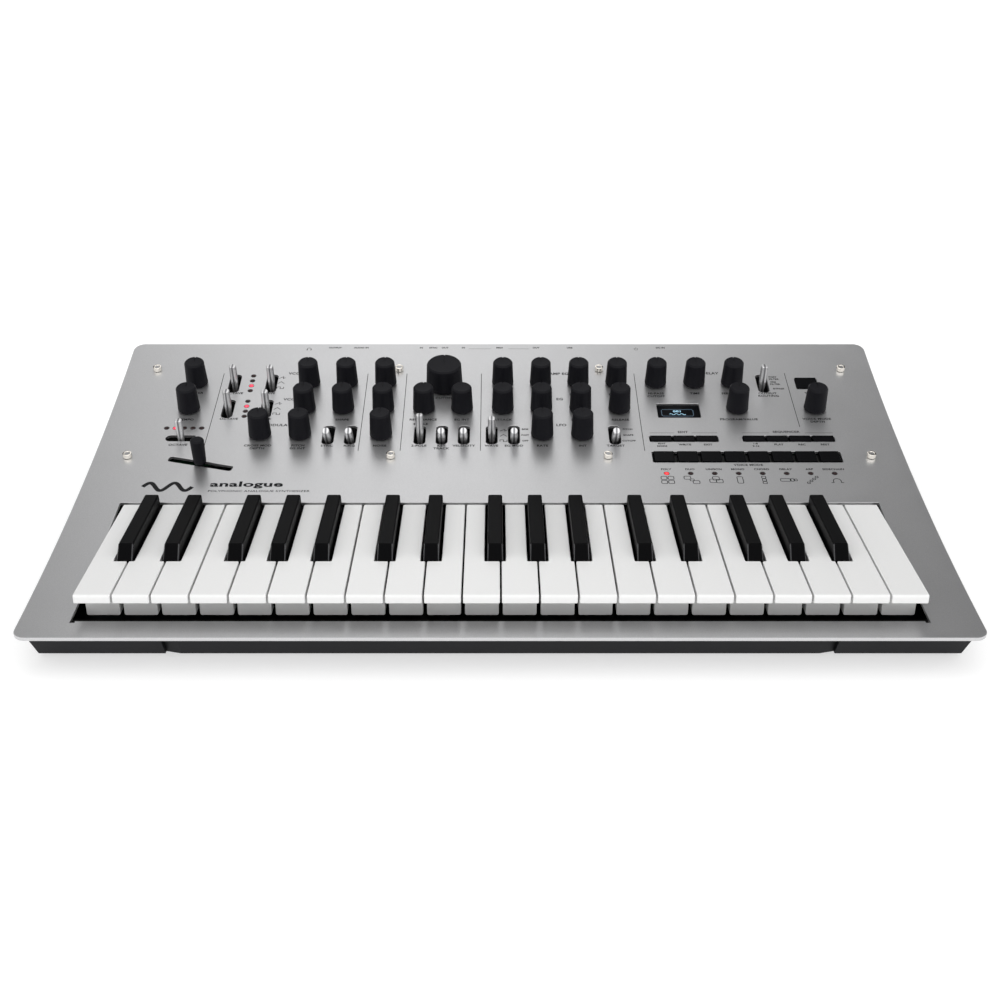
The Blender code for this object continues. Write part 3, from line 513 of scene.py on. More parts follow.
def stroke(points, width, closed=False):
    """Thin printed line through points in mm, with mitred corners."""
    corners = [Vector(point) for point in points]
    last = len(corners) - 1
    left, right = [], []
    for i, here in enumerate(corners):
        before = (here - corners[i - 1]).normalized() if i or closed else None
        after = (corners[(i + 1) % (last + 1)] - here).normalized() if i < last or closed else before
        before = before or after
        middle = (before + after).normalized()
        across = Vector((-middle.y, middle.x))
        reach = width / 2 / max(0.35, across.dot(Vector((-after.y, after.x))))
        left.append(here + across * reach)
        right.append(here - across * reach)
    outlines = [left, right] if closed else [left + right[::-1]]
    return flat_solid([scaled(outline) for outline in outlines], -INK_THICKNESS, INK_THICKNESS)


def at(x, y, z=0):
    return Matrix.Translation((x * MM, y * MM, z * MM))


def label_list():
    """Words of the panel: (text, x, y, letter height)."""
    small = [
        ("MASTER", -200, 95), ("TEMPO", -200.4, 65.6), ("OCTAVE", -200.7, 38.3), ("OCTAVE", -174.1, 94.6),
        ("OCTAVE", -173.3, 66.4), ("WAVE", -151.4, 94.6), ("WAVE", -150.5, 66.4), ("TRACK", -36.2, 34.5),
        ("CUTOFF", -36, 89.2), ("RESONANCE", -48.7, 65.6), ("EG INT", -24, 65.5), ("4-POLE", -50.2, 60.8),
        ("HI-PASS", 102.9, 94.3), ("CUTOFF", 102.8, 91.2), ("TIME", 128.5, 94.4), ("FEEDBACK", 153.4, 94.3),
        ("OUTPUT", 176.2, 94.4), ("ROUTING", 176.5, 91.6), ("TAP", 203.3, 94.6),
        ("PROGRAM/VALUE", 153.4, 65.9), ("VOICE MODE", 203.4, 66.3), ("DEPTH", 203.4, 63.3),
        ("EDIT", 116, 52.1), ("SEQUENCER", 181.3, 52.3),
    ]
    for y, number in ((93.4, "1"), (65.5, "2")):
        small += [("PITCH", -125.6, y), ("SHAPE", -100.6, y), ("VCO " + number, -75, y)]
    for y, words in ((37.6, ("CROSS MOD", "PITCH")), (34.6, ("DEPTH", "EG INT"))):
        small += [(word, x, y) for word, x in zip(words, (-150.8, -125.7))]
    switches = (("SYNC", -107.6), ("RING", -93.6), ("NOISE", -74.7), ("2-POLE", -50.2), ("KEY", -36.2),
                ("VELOCITY", -22.2), ("WAVE", -4.9), ("EG MOD", 9.1), ("RATE", 26.9), ("INT", 52),
                ("TARGET", 72.6))
    small += [(word, x, 37.4) for word, x in switches]
    for y in (93.2, 65.4):
        small += [("ATTACK", 2.3, y), ("DECAY", 27.3, y), ("SUSTAIN", 52.1, y), ("RELEASE", 77.5, y)]
    heads = [("VCO 1", -135.4, 116.6), ("VCO 2", -135.4, 87.8), ("MODULATION", -138, 59.6),
             ("AMP EG", 40, 116.3), ("EG", 39.5, 88), ("LFO", 39.5, 59.6), ("DELAY", 141.2, 116.8)]
    tiny = [("POST", 182.4, 112.6), ("FILTER", 182.8, 110.2), ("PRE", 182, 107), ("FILTER", 182.8, 104.6),
            ("BYPASS", 184.4, 99.6)]
    for x, words in ((16.3, ("BPM", "FAST", "OFF")), (81.3, ("PITCH", "SHAPE", "CUTOFF"))):
        tiny += [(word, x, y) for word, y in zip(words, (55.1, 48.8, 42.7))]
    for x, upper, lower in ((101.5, "EDIT", "MODE"), (160, "1-8", "9-16")):
        tiny += [(upper, x, 39.7), (lower, x, 37)]
    rear = (("OUTPUT", -112.2), ("AUDIO IN", -94.4), ("IN", -53.2), ("SYNC", -45), ("OUT", -37),
            ("IN", -24.4), ("MIDI", 0.4), ("OUT", 25.4), ("USB", 48.4), ("DC IN", 110.6))
    tiny += [(word, x, 145.7) for word, x in rear]
    medium = [(word, 115.9 + i * 14.4, 38.6) for i, word in enumerate(("WRITE", "EXIT"))]
    medium += [(word, 181.7 + (i - 0.5) * 14.45, 38.7) for i, word in enumerate(("PLAY", "REC", "REST"))]
    modes = ("POLY", "DUO", "UNISON", "MONO", "CHORD", "DELAY", "ARP", "SIDECHAIN")
    medium += [(word, VOICE_FIRST + VOICE_PITCH * i, 12.5) for i, word in enumerate(modes)]
    labels = [("VOICE MODE", 152.3, 17, 2.0)]
    for size, words in ((2.05, small), (2.5, heads), (1.75, medium), (1.5, tiny)):
        labels += [(*word, size) for word in words]
    return labels


def wave_icons(x, y):
    """Saw, triangle and square signs beside a waveform switch."""
    saw = [(x - 2.2, y + 4.9), (x + 0.9, y + 6.9), (x + 0.9, y + 4.9), (x + 2.2, y + 5.8)]
    triangle = [(x - 2.2, y - 0.8), (x, y + 1.3), (x + 2.2, y - 0.8)]
    square = [(x - 2.2, y - 6.4), (x - 2.2, y - 4.5), (x, y - 4.5), (x, y - 6.4), (x + 2.2, y - 6.4),
              (x + 2.2, y - 4.5)]
    return [stroke(line, 0.42) for line in (saw, triangle, square)]


def mode_icons():
    """Signs below the voice-mode lamps, made of small rounded boxes: (x, y, half width, half depth)."""
    layouts = (
        [(-2.1, 2.1, 1.75, 1.65), (2.1, 2.1, 1.75, 1.65), (-2.1, -2.1, 1.75, 1.65), (2.1, -2.1, 1.75, 1.65)],
        [(-2.5, 2.3, 2.0, 1.6), (2.5, -2.3, 2.0, 1.6), (0.1, 0, 1.2, 1.0)],
        [(-1.9, -0.9, 2.0, 1.8), (0.1, 1.6, 2.0, 1.8), (2.0, -1.2, 2.0, 1.8)],
        [(0, 0, 1.7, 3.4)],
        [(0, 2.7, 1.2, 1.1), (0, 0, 1.2, 1.1), (0, -2.7, 1.2, 1.1)],
        [(-1.9, 0, 2.9, 1.4), (2.3, 0, 0.9, 1.4), (4.4, 0, 0.7, 1.0)],
        [(-2.9, -3.0, 0.8, 0.8), (-1.0, -1.0, 0.8, 0.8), (1.0, 1.0, 0.8, 0.8), (2.9, 3.0, 0.8, 0.8)],
        [],
    )
    icons = []
    for i, layout in enumerate(layouts):
        for x, y, half_x, half_y in layout:
            place = (VOICE_FIRST + VOICE_PITCH * i + x, 1.4 + y)
            outline = round_rectangle(place, 2 * half_x, 2 * half_y, min(half_x, half_y) * 0.4, 2)
            icons.append(stroke(outline, 0.45, closed=True))
    arch = VOICE_FIRST + VOICE_PITCH * 7
    line = [(arch + 3.8, -1.4), (arch + 2.3, -1.4)] + arc((arch, 0.4), 2.3, 0, 180, 12)
    icons.append(stroke(line + [(arch - 2.3, -1.4), (arch - 3.8, -1.4)], 0.5))
    return icons


def build_legends():
    words = [(text(word, size), at(x, y)) for word, x, y, size in label_list()]
    mesh = gathered(words)
    lay_on_panel(mesh, INK_LIFT)
    piece("legend_words", mesh, INK, slot="soft_black")
    lines = []
    dividers = ((-184, 116.7, 29), (-87.7, 116.5, 32), (-61.6, 116.5, 32), (-11.8, 116.5, 32),
                (90.2, 116.5, 32), (191, 117, 57.7))
    for x, top, bottom in dividers:
        count = 12
        ys = [bottom + (top - bottom) * i / count for i in range(count + 1)]
        lines.append(stroke([(x, y) for y in ys], 0.38))
    for left, right in ((95, 110.5), (121.5, 137.5), (153.3, 170.5), (193.2, 210.6)):
        lines.append(stroke([(left, 51.3), (right, 51.3)], 0.22))
    for left, right in ((-20.5, -5.5), (6.5, 20.5)):
        lines.append(stroke([(left, 144.6), (right, 144.6)], 0.2))
    for x, y in ((-144.6, 106.2), (-143.6, 77.5), (2.6, 48.3)):
        lines += wave_icons(x, y)
    lines += mode_icons()
    lines.append(stroke(arc((-130, 144.3), 1.3, 0, 180, 24), 0.3))
    lines += [stroke([(-130 + side * 1.3, 144.3), (-130 + side * 1.3, 142.9)], 0.6) for side in (-1, 1)]
    lines.append(stroke(arc((93.8, 144.4), 1.2, 120, 420, 24), 0.26))
    lines.append(stroke([(93.8, 144.4), (93.8, 146)], 0.26))
    mesh = gathered([(line, Matrix()) for line in lines])
    lay_on_panel(mesh, INK_LIFT)
    piece("legend_lines", mesh, INK, slot="soft_black")


def build_emblem():
    """Plain wave mark and the kind of instrument, at the left above the keys."""
    wave = []
    for step in range(61):
        x = step / 60
        wave.append((-213.4 + 29.6 * x, -5.7 + 3.9 * math.sin(4 * math.pi * x)))
    marks = [(stroke(wave, 2.7), Matrix())]
    marks.append((text("analogue", 5.3, 1.58, weight=0.24), at(-151.6, -3.2)))
    marks.append((text("POLYPHONIC ANALOGUE SYNTHESIZER", 1.9, 1.20, weight=0.03), at(-143.4, -10.2)))
    mesh = gathered(marks)
    lay_on_panel(mesh, INK_LIFT)
    piece("panel_emblem", mesh, INK, slot="soft_black")


# ---- knobs, levers, lamps

def knob_mesh(top_radius, base_radius, height):
    """Soft black knob: dished top, chamfered crown, skirt flared at its foot, groove to the rear."""
    chamfer = 0.9
    crown = [(0, height - 0.2), (top_radius * 0.6, height - 0.12),
             (top_radius - chamfer - 0.15, height - 0.02), (top_radius - chamfer, height - 0.06),
             (top_radius - 0.12, height - chamfer), (top_radius, height - chamfer - 0.3)]
    side = [(base_radius - 0.10, 3.0), (base_radius, 1.9)]
    foot = arc((base_radius - 0.3, 1.3), 0.3, 0, -90, 3)
    under = [(base_radius - 1.2, 1.05), (base_radius - 1.4, 0.45), (base_radius - 2.4, 0.45),
             (base_radius - 2.6, 2.2), (3, 2.2), (3, -7), (0, -7)]
    body = turned(crown + side + foot + under, 56)
    groove = box((-0.34, 0.6, height - 0.7), (0.34, top_radius + 2, height + 1))
    notch = box((-0.42, top_radius - 0.75, height - 2.2), (0.42, top_radius + 2.1, height + 1.1))
    return boolean(boolean(body, groove, "DIFFERENCE"), notch, "DIFFERENCE")


def collar_mesh():
    """Threaded bush and thin nut round a shaft, just proud of the panel."""
    profile = [(3.1, 0.7), (3.9, 0.7), (3.9, 0.25), (5.0, 0.25), (5.0, 0.03), (3.8, 0.03), (3.8, -5),
               (3.1, -5), (3.1, 0.7)]
    return turned(profile, 32)


def build_knobs():
    small = knob_mesh(6.4, 7.1, 17.5)
    collar = collar_mesh()
    number = 0
    for y, row in FIXED_KNOBS.items():
        for x in row:
            number += 1
            piece(f"knob_{number:02d}", small, KNOB, matrix=on_panel(x, y), slot="soft_black")
    for name, (x, y) in TURNING_KNOBS.items():
        piece(name + "_cap", small, KNOB, body=name, matrix=on_panel(x, y), stands_for=(name,),
              slot="soft_black")
    big = knob_mesh(11.25, 12, 17.6)
    piece("cutoff_knob_cap", big, KNOB, body="cutoff_knob", matrix=on_panel(*CUTOFF),
          stands_for=("cutoff_knob",), slot="soft_black")
    collars = gathered([(collar, on_panel(x, y)) for x, y in knob_places()])
    piece("knob_collars", collars, SOCKET, slot="black_socket")


def lever_mesh():
    """Round lever: thin at its root, fuller in the middle, with a flat tip and a rounded rim."""
    root, middle, tip, rim = 1.5, 2.45, 2.3, 0.45
    reach = TOGGLE_REACH / MM
    profile = [(0, reach), (tip - rim, reach)]
    profile += arc((tip - rim, reach - rim), rim, 75, 0, 4)
    profile += [(middle, 13.5), (middle - 0.2, 9), (root + 0.5, 5), (root, 0), (root, -2), (0, -2)]
    return turned(profile, 28)


def switch_mesh(width, depth):
    """Black switch housing under a slot, with a trough for its lever."""
    shell = box((-width / 2, -depth / 2, -11.2), (width / 2, depth / 2, -2.4), 0.3)
    trough = box((-width / 2 + 2.2, -depth / 2 + 2, -9.5), (width / 2 - 2.2, depth / 2 - 2, 1))
    return boolean(shell, trough, "DIFFERENCE")


def build_levers():
    lever = lever_mesh()
    housing = switch_mesh(11, 23)
    pivot = Matrix.Translation((0, 0, TOGGLE_PIVOT))
    for number, (x, y, lean) in enumerate(TOGGLES, 1):
        tilt = Matrix.Rotation(math.radians(-lean), 4, "X")
        place = on_panel(x, y) @ pivot @ tilt
        piece(f"toggle_lever_{number:02d}", lever, CHROME, matrix=place, slot="chrome")
    tilt = Matrix.Rotation(math.radians(-FILTER_LEAN), 4, "X")
    piece("filter_toggle_lever", lever, CHROME, body="filter_toggle", slot="chrome",
          matrix=on_panel(*FILTER_TOGGLE) @ pivot @ tilt, stands_for=("filter_toggle",))
    piece("octave_toggle_lever", lever, CHROME, body="octave_toggle", slot="chrome",
          matrix=on_panel(*OCTAVE_TOGGLE) @ pivot, stands_for=("octave_toggle",))
    quarter = Matrix.Rotation(math.pi / 2, 4, "Z")
    housings = [(housing, on_panel(x, y)) for x, y in toggle_places()]
    housings.append((housing, on_panel(*OCTAVE_TOGGLE) @ quarter))
    piece("switch_housings", gathered(housings), SOCKET, slot="black_socket")


def build_bend_lever():
    height, radius = 18, 4.25
    crown = [(0, height), (radius - 1.6, height - 0.1)]
    crown += arc((radius - 1.5, height - 1.6), 1.5, 85, 5, 5)
    side = [(radius - 0.35, 2.2), (radius - 0.6, 1.2), (1.8, 1.0), (1.8, -4.5), (4, -4.5), (4, -7.5),
            (0, -7.5)]
    mesh = turned(crown + side, 44)
    turn = Matrix.Rotation(BEND_ANGLE, 4, "Z")
    piece("bend_lever_cap", mesh, KNOB, body="bend_lever", matrix=on_panel(*BEND) @ turn,
          stands_for=("bend_lever",), slot="soft_black")
    guide = box((-26, -6, -9.5), (26, 6, -7.9), 0.3)
    piece("bend_guide", guide, SOCKET, matrix=on_panel(*BEND) @ turn, slot="black_socket")


def lamp_places():
    lamps = [(-163.9, 114 - 5.5 * i, i == 2, "pink") for i in range(4)]
    lamps += [(-163.8, 85.8 - 5.5 * i, i == 1, "pink") for i in range(4)]
    lamps += [(-211.1 + 5.55 * i, 56.4, i == 1, "pink") for i in range(5)]
    lamps += [(VOICE_FIRST + VOICE_PITCH * i, 8.2, i == 0, "red") for i in range(8)]
    return lamps


def build_lamps():
    profile = [(0, 0.55), (0.7, 0.47), (1.15, 0.27), (1.38, 0.05), (1.42, -0.06), (0, -0.06)]
    lens = turned(profile, 24)
    rim = turned(((1.48, 0.1), (1.75, 0.08), (1.82, -0.04), (1.46, -0.04), (1.48, 0.1)), 24)
    lit_count = 0
    unlit, rims = [], []
    for x, y, lit, hue in lamp_places():
        rims.append((rim, on_panel(x, y)))
        if not lit:
            unlit.append((lens, on_panel(x, y)))
            continue
        lit_count += 1
        glow = LAMP_PINK if hue == "pink" else LAMP_RED
        piece(f"lit_lamp_{lit_count}", lens.copy(), glow, matrix=on_panel(x, y), slot="display_glass")
    piece("unlit_lamps", gathered(unlit), LAMP_OFF, slot="display_glass")
    piece("lamp_rims", gathered(rims), SOCKET, slot="black_socket")


def build_buttons():
    """Caps of the push buttons, each row on its own silicone mat."""
    for name, (x, y, width, depth, count, play) in BANKS.items():
        body = name + ("_button" if count == 1 else "_buttons")
        place = on_panel(x, y)
        half_x, half_y = width / 2 + 1, depth / 2 + 1
        mat = box((-half_x, -half_y, -4.4), (half_x, half_y, -3.2), 0.3)
        piece(name + "_mat", mat, RUBBER, body=body, matrix=place, stands_for=(body,), slot="rubber")
        pitch = width / count
        half = pitch / 2 - play
        deep = depth / 2 - 0.45
        cap = box((-half, -deep, -3.3), (half, deep, 0.75), 0.35, 3)
        for number in range(count):
            shift = at((number + 0.5) * pitch - width / 2, 0)
            piece(f"{name}_cap_{number + 1}", cap, GLOSS, body=body, matrix=place @ shift, slot="soft_black")


def build_display():
    x, y, width, depth = DISPLAY
    place = on_panel(x, y)
    glass = box((-width / 2 + 0.1, -depth / 2 + 0.1, -2.3), (width / 2 - 0.1, depth / 2 - 0.1, -1.1), 0.15)
    piece("display_window", glass, SCREEN, matrix=place, slot="display_glass")
    half_x, half_y, turn = 10.2, 3.7, 0.9
    frame_line = [(-half_x + turn, -half_y), (half_x - turn, -half_y), (half_x, -half_y + turn),
                  (half_x, half_y - turn), (half_x - turn, half_y), (-half_x + turn, half_y),
                  (-half_x, half_y - turn), (-half_x, -half_y + turn)]
    lower = at(-0.7, -0.9, -1.07)
    piece("display_frame", stroke(frame_line, 0.22, closed=True), SCREEN_DIM, matrix=place @ lower,
          slot="display_glass")
    wave = [(-5.2 + 10.4 * i / 40, -1.6 + 0.7 * math.sin(6 * math.pi * i / 40)) for i in range(41)]
    glow = gathered([(text("001", 2.0, 1.3, weight=0.03), at(0, 1.5)), (stroke(wave, 0.3), Matrix())])
    piece("display_marks", glow, SCREEN_GLOW, matrix=place @ lower, slot="display_glass")


def build_screws():
    """Nickel cap screws with a knurled side and a hexagon socket."""
    head, height, socket, depth = 2.75, 2.95, 1.75, 0.55
    profile = [(0, height - depth), (socket, height - depth), (socket, height - 0.15),
               (socket + 0.12, height), (head - 0.35, height), (head - 0.1, height - 0.1),
               (head, height - 0.35), (head, 0.32), (head - 0.1, 0.3), (1.4, 0.3), (1.4, -2.6), (0, -2.6)]
    mesh = turned(profile, 48)
    sixth = math.pi / 3
    for vertex in mesh.vertices:
        radius = math.hypot(vertex.co.x, vertex.co.y)
        angle = math.atan2(vertex.co.y, vertex.co.x)
        scale = 1
        if radius > (head - 0.05) * MM and round(angle / (2 * math.pi / 48)) % 2:
            scale = 0.965
        elif abs(radius - socket * MM) < 0.05 * MM and vertex.co.z > 0.5 * MM:
            scale = math.cos(sixth / 2) / math.cos(angle % sixth - sixth / 2)
        vertex.co.x *= scale
        vertex.co.y *= scale
    bottom = flat_solid([circle(1.45 * MM, 24)], (height - depth + 0.02) * MM, (height - depth + 0.12) * MM)
    bottoms = gathered([(bottom, on_panel(x, y)) for x, y in SCREWS])
    piece("screw_sockets", bottoms, SCREW_SOCKET, slot="black_socket")
    for number, (x, y) in enumerate(SCREWS, 1):
        piece(f"cap_screw_{number}", mesh, NICKEL, matrix=on_panel(x, y), slot="steel", sharp=25)


# ---- keys

KEY_TOP = 38.3 * MM
KEY_LIP = 4.85 * MM
KEY_REAR = -24.9 * MM
NOTCH_FRONT = -96.5 * MM
NOTCH_REACH = 5.75 * MM
FRONT_ROUNDING = 1.4 * MM
WHITE_NAMES = [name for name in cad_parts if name.startswith("key_") and len(name) == 6]
BLACK_NAMES = [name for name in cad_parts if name.startswith("key_") and len(name) == 7]


def box_centre(node):
    low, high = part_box(node)
    return (low[0] + high[0]) / 2


def white_outline(left, right, neck_left, neck_right, front):
    """Plan of a white key's top, with rounded corners, in metres."""
    radius = 0.7 * MM
    corners = [(left, front), (right, front)]
    if neck_right < right:
        corners += [(right, NOTCH_FRONT), (neck_right, NOTCH_FRONT)]
    corners += [(neck_right, KEY_REAR), (neck_left, KEY_REAR)]
    if neck_left > left:
        corners += [(neck_left, NOTCH_FRONT), (left, NOTCH_FRONT)]
    points = []
    count = len(corners)
    for index, corner in enumerate(corners):
        here = Vector(corner)
        before = (Vector(corners[index - 1]) - here).normalized()
        after = (Vector(corners[(index + 1) % count]) - here).normalized()
        centre = here + (before + after) * radius
        start, end = here + before * radius, here + after * radius
        for step in range(4):
            blend = start.lerp(end, step / 3) - centre
            points.append(tuple(centre + blend.normalized() * radius))
    return points


def round_front(mesh, front):
    """Rounds off the upper front edge of a key's plate."""
    work = bmesh.new()
    work.from_mesh(mesh)
    for part in (0.35, 0.6, 0.8, 1.0):
        slice_all(work, (0, front + FRONT_ROUNDING * part, 0), (0, 1, 0))
    for vertex in work.verts:
        near = (front + FRONT_ROUNDING - vertex.co.y) / FRONT_ROUNDING
        if near > 0 and vertex.co.z > KEY_TOP - 0.5 * MM:
            vertex.co.z -= FRONT_ROUNDING * (1 - math.sqrt(max(0, 1 - min(1, near) ** 2)))
    work.to_mesh(mesh)
    work.free()


def white_key_mesh(left, right, neck_left, neck_right, front):
    plate = flat_solid([white_outline(left, right, neck_left, neck_right, front)], KEY_TOP - KEY_LIP, KEY_TOP,
                       0.45 * MM, 2)
    round_front(plate, front)
    lip_bottom = KEY_TOP - KEY_LIP
    block = flat_solid([round_rectangle(((left + right) / 2, 25.9 * MM), right - left - 1.1 * MM, 17.8 * MM,
                                        1.1 * MM, 4)], -4 * MM, 4 * MM, 0.35 * MM, 1)
    block.transform(at(0, -114) @ Matrix.Rotation(math.pi / 2, 4, "X"))
    beam = box((neck_left / MM + 0.4, -112, 28), (neck_right / MM - 0.4, 12, lip_bottom / MM + 0.2), 0.3)
    body = boolean(plate, block, "UNION")
    return boolean(body, beam, "UNION")


def build_white_keys():
    meshes = {}
    centres = {name: box_centre(name) for name in BLACK_NAMES}
    for name in WHITE_NAMES:
        low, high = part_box(name)
        middle = (low[0] + high[0]) / 2
        left, right = low[0] - middle, high[0] - middle
        neck_left, neck_right = left, right
        for centre in centres.values():
            offset = centre - middle
            if left - 5 * MM < offset < 0:
                neck_left = max(neck_left, offset + NOTCH_REACH)
            if 0 < offset < right + 5 * MM:
                neck_right = min(neck_right, offset - NOTCH_REACH)
        shape = (round(neck_left, 5), round(neck_right, 5))
        if shape not in meshes:
            meshes[shape] = white_key_mesh(left, right, neck_left, neck_right, low[1])
        piece(name + "_top", meshes[shape], WHITE, body=name, matrix=Matrix.Translation((middle, 0, 0)),
              stands_for=(name,), slot="white_key", sharp=40)


def black_key_mesh():
    """Slim black key with a sloped front, rounded shoulders, and a lighter, glossier black on its front
    edges, a painted highlight.
    """
    side = [(-95.7, 28), (-95.7, 37.8), (-89.4, 45.2), (-25.4, 45.2), (-24.9, 34), (12, 34), (12, 28)]
    mesh = flat_solid([scaled(side)], -4.3 * MM, 4.3 * MM)
    mesh.transform(Matrix(((0, 0, 1, 0), (1, 0, 0, 0), (0, 1, 0, 0), (0, 0, 0, 1))))
    work = bmesh.new()
    work.from_mesh(mesh)
    bmesh.ops.dissolve_limit(work, angle_limit=0.01, verts=work.verts, edges=work.edges)
    slice_all(work, (0, 0, 37.8 * MM), (0, 0, 1))
    for vertex in work.verts:
        if vertex.co.z > 40 * MM:
            vertex.co.x *= 0.94
    upper = [edge for edge in work.edges if min(v.co.z for v in edge.verts) > 37.7 * MM
             and max(v.co.z for v in edge.verts) > 40 * MM and edge.calc_face_angle(0) > 0.2]
    # painted highlight: the bevels of the sloped front's side edges take the lighter black as their second
    # material
    bmesh.ops.bevel(work, geom=upper, offset=0.85 * MM, segments=4, profile=0.5, affect="EDGES",
                    clamp_overlap=True, material=1)
    for face in work.faces:
        if face.calc_center_median().y > -88 * MM or abs(face.normal.x) < 0.3:
            face.material_index = 0
    work.to_mesh(mesh)
    work.free()
    mesh.materials.append(BLACK)
    mesh.materials.append(BLACK_EDGE_HIGHLIGHT)
    mesh.shade_smooth()
    mesh.set_sharp_from_angle(angle=math.radians(40))
    return mesh


def build_black_keys():
    mesh = black_key_mesh()
    for name in BLACK_NAMES:
        piece(name + "_top", mesh, BLACK, body=name, matrix=Matrix.Translation((box_centre(name), 0, 0)),
              stands_for=(name,), slot="black_key")


# ---- case, rear and inside

def finish_node(name, mat, bevel=0.0):
    """Gives a CAD node that stays in view its finish, and rounds its edges."""
    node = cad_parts[name]
    node.data.materials.clear()
    node.data.materials.append(mat)
    if bevel:
        edge = node.modifiers.new("edge", "BEVEL")
        edge.width = bevel
        edge.segments = 2
        edge.limit_method = "ANGLE"
        edge.angle_limit = math.radians(40)
        edge.harden_normals = True


WALL_INWARD = (0, 0.881, 0.473)
WALL_FOOT = (-131.6, 1.7)


def paint_shade_inside(mat):
    """Paints shade on the case: its colour goes dark behind the outer skin of its leaning front wall, where
    the inside lies in shadow.
    """
    nodes, links = mat.node_tree.nodes, mat.node_tree.links
    depth = nodes.new("ShaderNodeVectorMath")
    depth.operation = "DOT_PRODUCT"
    depth.inputs[1].default_value = WALL_INWARD
    links.new(nodes.new("ShaderNodeTexCoord").outputs["Object"], depth.inputs[0])
    skin = (WALL_FOOT[0] * WALL_INWARD[1] + WALL_FOOT[1] * WALL_INWARD[2]) * MM
    shade = graded(mat.node_tree, depth.outputs["Value"], skin + 1.2 * MM, skin + 2.4 * MM, 1, 0.12)
    dim = nodes.new("ShaderNodeMix")
    dim.data_type, dim.blend_type = "RGBA", "MULTIPLY"
    dim.inputs[0].default_value = 1
    socket = nodes["Principled BSDF"].inputs["Base Color"]
    links.new(socket.links[0].from_socket, dim.inputs[6])
    links.new(shade, dim.inputs[7])
    links.new(dim.outputs[2], socket)


def build_case():
    # painted shade: the case's colour is dimmed inside, behind the skin of its front wall
    paint_shade_inside(CASE)
    finish_node("lower_case", CASE, 0.6 * MM)
    finish_node("key_frame", FRAME_PLASTIC)
    finish_node("panel_bracket", STEEL)
    finish_node("display_module", SCREEN)
    finish_node("power_button", GLOSS, 0.3 * MM)
    finish_node("front_foot_strip", RUBBER, 0.4 * MM)
    finish_node("rear_foot_strip", RUBBER, 0.4 * MM)
    finish_node("rear_board", WOOD, 0.6 * MM)
    finish_node("jack_board", SOCKET, 0.3 * MM)


def build_circuit_board():
    """Main board with its potentiometer cans below the knobs."""
    mask = box((-212, -42, -13), (214, 42, -11.4), 0.2)
    piece("main_board", mask, BOARD, matrix=on_panel(0, 71), stands_for=("control_board",),
          slot="circuit_board")
    can = turned(((3.05, -6.9), (5.2, -6.9), (5.5, -7.3), (5.5, -11.3), (3.05, -11.3), (3.05, -6.9)), 24)
    piece("pot_cans", gathered([(can, on_panel(x, y)) for x, y in knob_places()]), STEEL, slot="steel")


def sockets():
    """Metal and plastic fittings of the rear sockets: (kind, x in mm)."""
    return (("jack", -130), ("jack", -112), ("jack", -94), ("mini", -52), ("mini", -38), ("din", -16.7),
            ("din", 17.7), ("usb", 48.6), ("barrel", 111))


def ring_solid(inner, outer, low, high, steps=40, bevel=0.15):
    profile = [(outer - bevel, high), (outer, high - bevel), (outer, low), (inner, low),
               (inner, high - bevel), (inner + bevel, high), (outer - bevel, high)]
    return turned(profile, steps)


def build_sockets():
    back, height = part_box("jack_board")[1][1], 41 * MM
    face = Matrix.Rotation(-math.pi / 2, 4, "X")
    metal, dark, pale = [], [], []
    nut = flat_solid([circle(5.6 * MM, 6), circle(3.5 * MM, 32)], 0.05 * MM, 1.6 * MM, 0.2 * MM)
    small_nut = ring_solid(1.95, 3.6, 0.05, 1.1)
    for kind, x in sockets():
        place = Matrix.Translation((x * MM, back, height)) @ face
        if kind == "jack":
            metal += [(nut, place), (ring_solid(3.42, 4.4, 1.0, 2.1), place)]
        elif kind == "mini":
            metal.append((small_nut, place))
        elif kind == "din":
            metal.append((ring_solid(6.95, 7.9, 0.05, 0.9), place))
            disc = turned([(0, -8.0), (6.6, -8.0), (6.6, -8.8), (0, -8.8)], 32)
            dark.append((disc, place))
            for step in range(5):
                angle = math.radians(45 * step)
                spot = at(4 * math.cos(angle), -4 * math.sin(angle))
                metal.append((ring_solid(0.5, 0.95, -8.0, -7.4, 12, 0.05), place @ spot))
        elif kind == "usb":
            rim = flat_solid([round_rectangle((0, 0.8 * MM), 10 * MM, 9.6 * MM, MM, 4),
                              scaled([(-4.25, -3.2), (4.25, -3.2), (4.25, 3.9), (-4.25, 3.9)])],
                             0.05 * MM, 0.9 * MM, 0.1 * MM)
            tongue = box((-2.6, -1.3, -9), (2.6, 1.5, -1), 0.2)
            metal.append((rim, place))
            pale.append((tongue, place))
        else:
            metal.append((ring_solid(3.2, 4.2, 0.05, 0.8), place))
            metal.append((turned([(0, -1.5), (0.6, -1.8), (0.65, -8.8), (0, -8.8)], 16), place))
    piece("socket_metal", gathered(metal), STEEL, slot="chrome")
    piece("socket_inserts", gathered(dark + pale), FRAME_PLASTIC, slot="black_socket")
    words = (("PHONES", -130), ("OUTPUT", -112), ("AUDIO IN", -94), ("IN", -52), ("SYNC", -45), ("OUT", -38),
             ("MIDI IN", -16.7), ("MIDI OUT", 17.7), ("USB", 48.6), ("POWER", 94), ("DC IN", 111))
    upright = Matrix.Rotation(math.pi, 4, "Z") @ Matrix.Rotation(math.pi / 2, 4, "X")
    marks = []
    for word, x in words:
        spot = Matrix.Translation((x * MM, back + 0.012 * MM, height - 9.2 * MM))
        marks.append((text(word, 1.5, 1.1), spot @ upright))
    piece("socket_words", gathered(marks), PALE_INK, slot="white_key")


# ---- stage

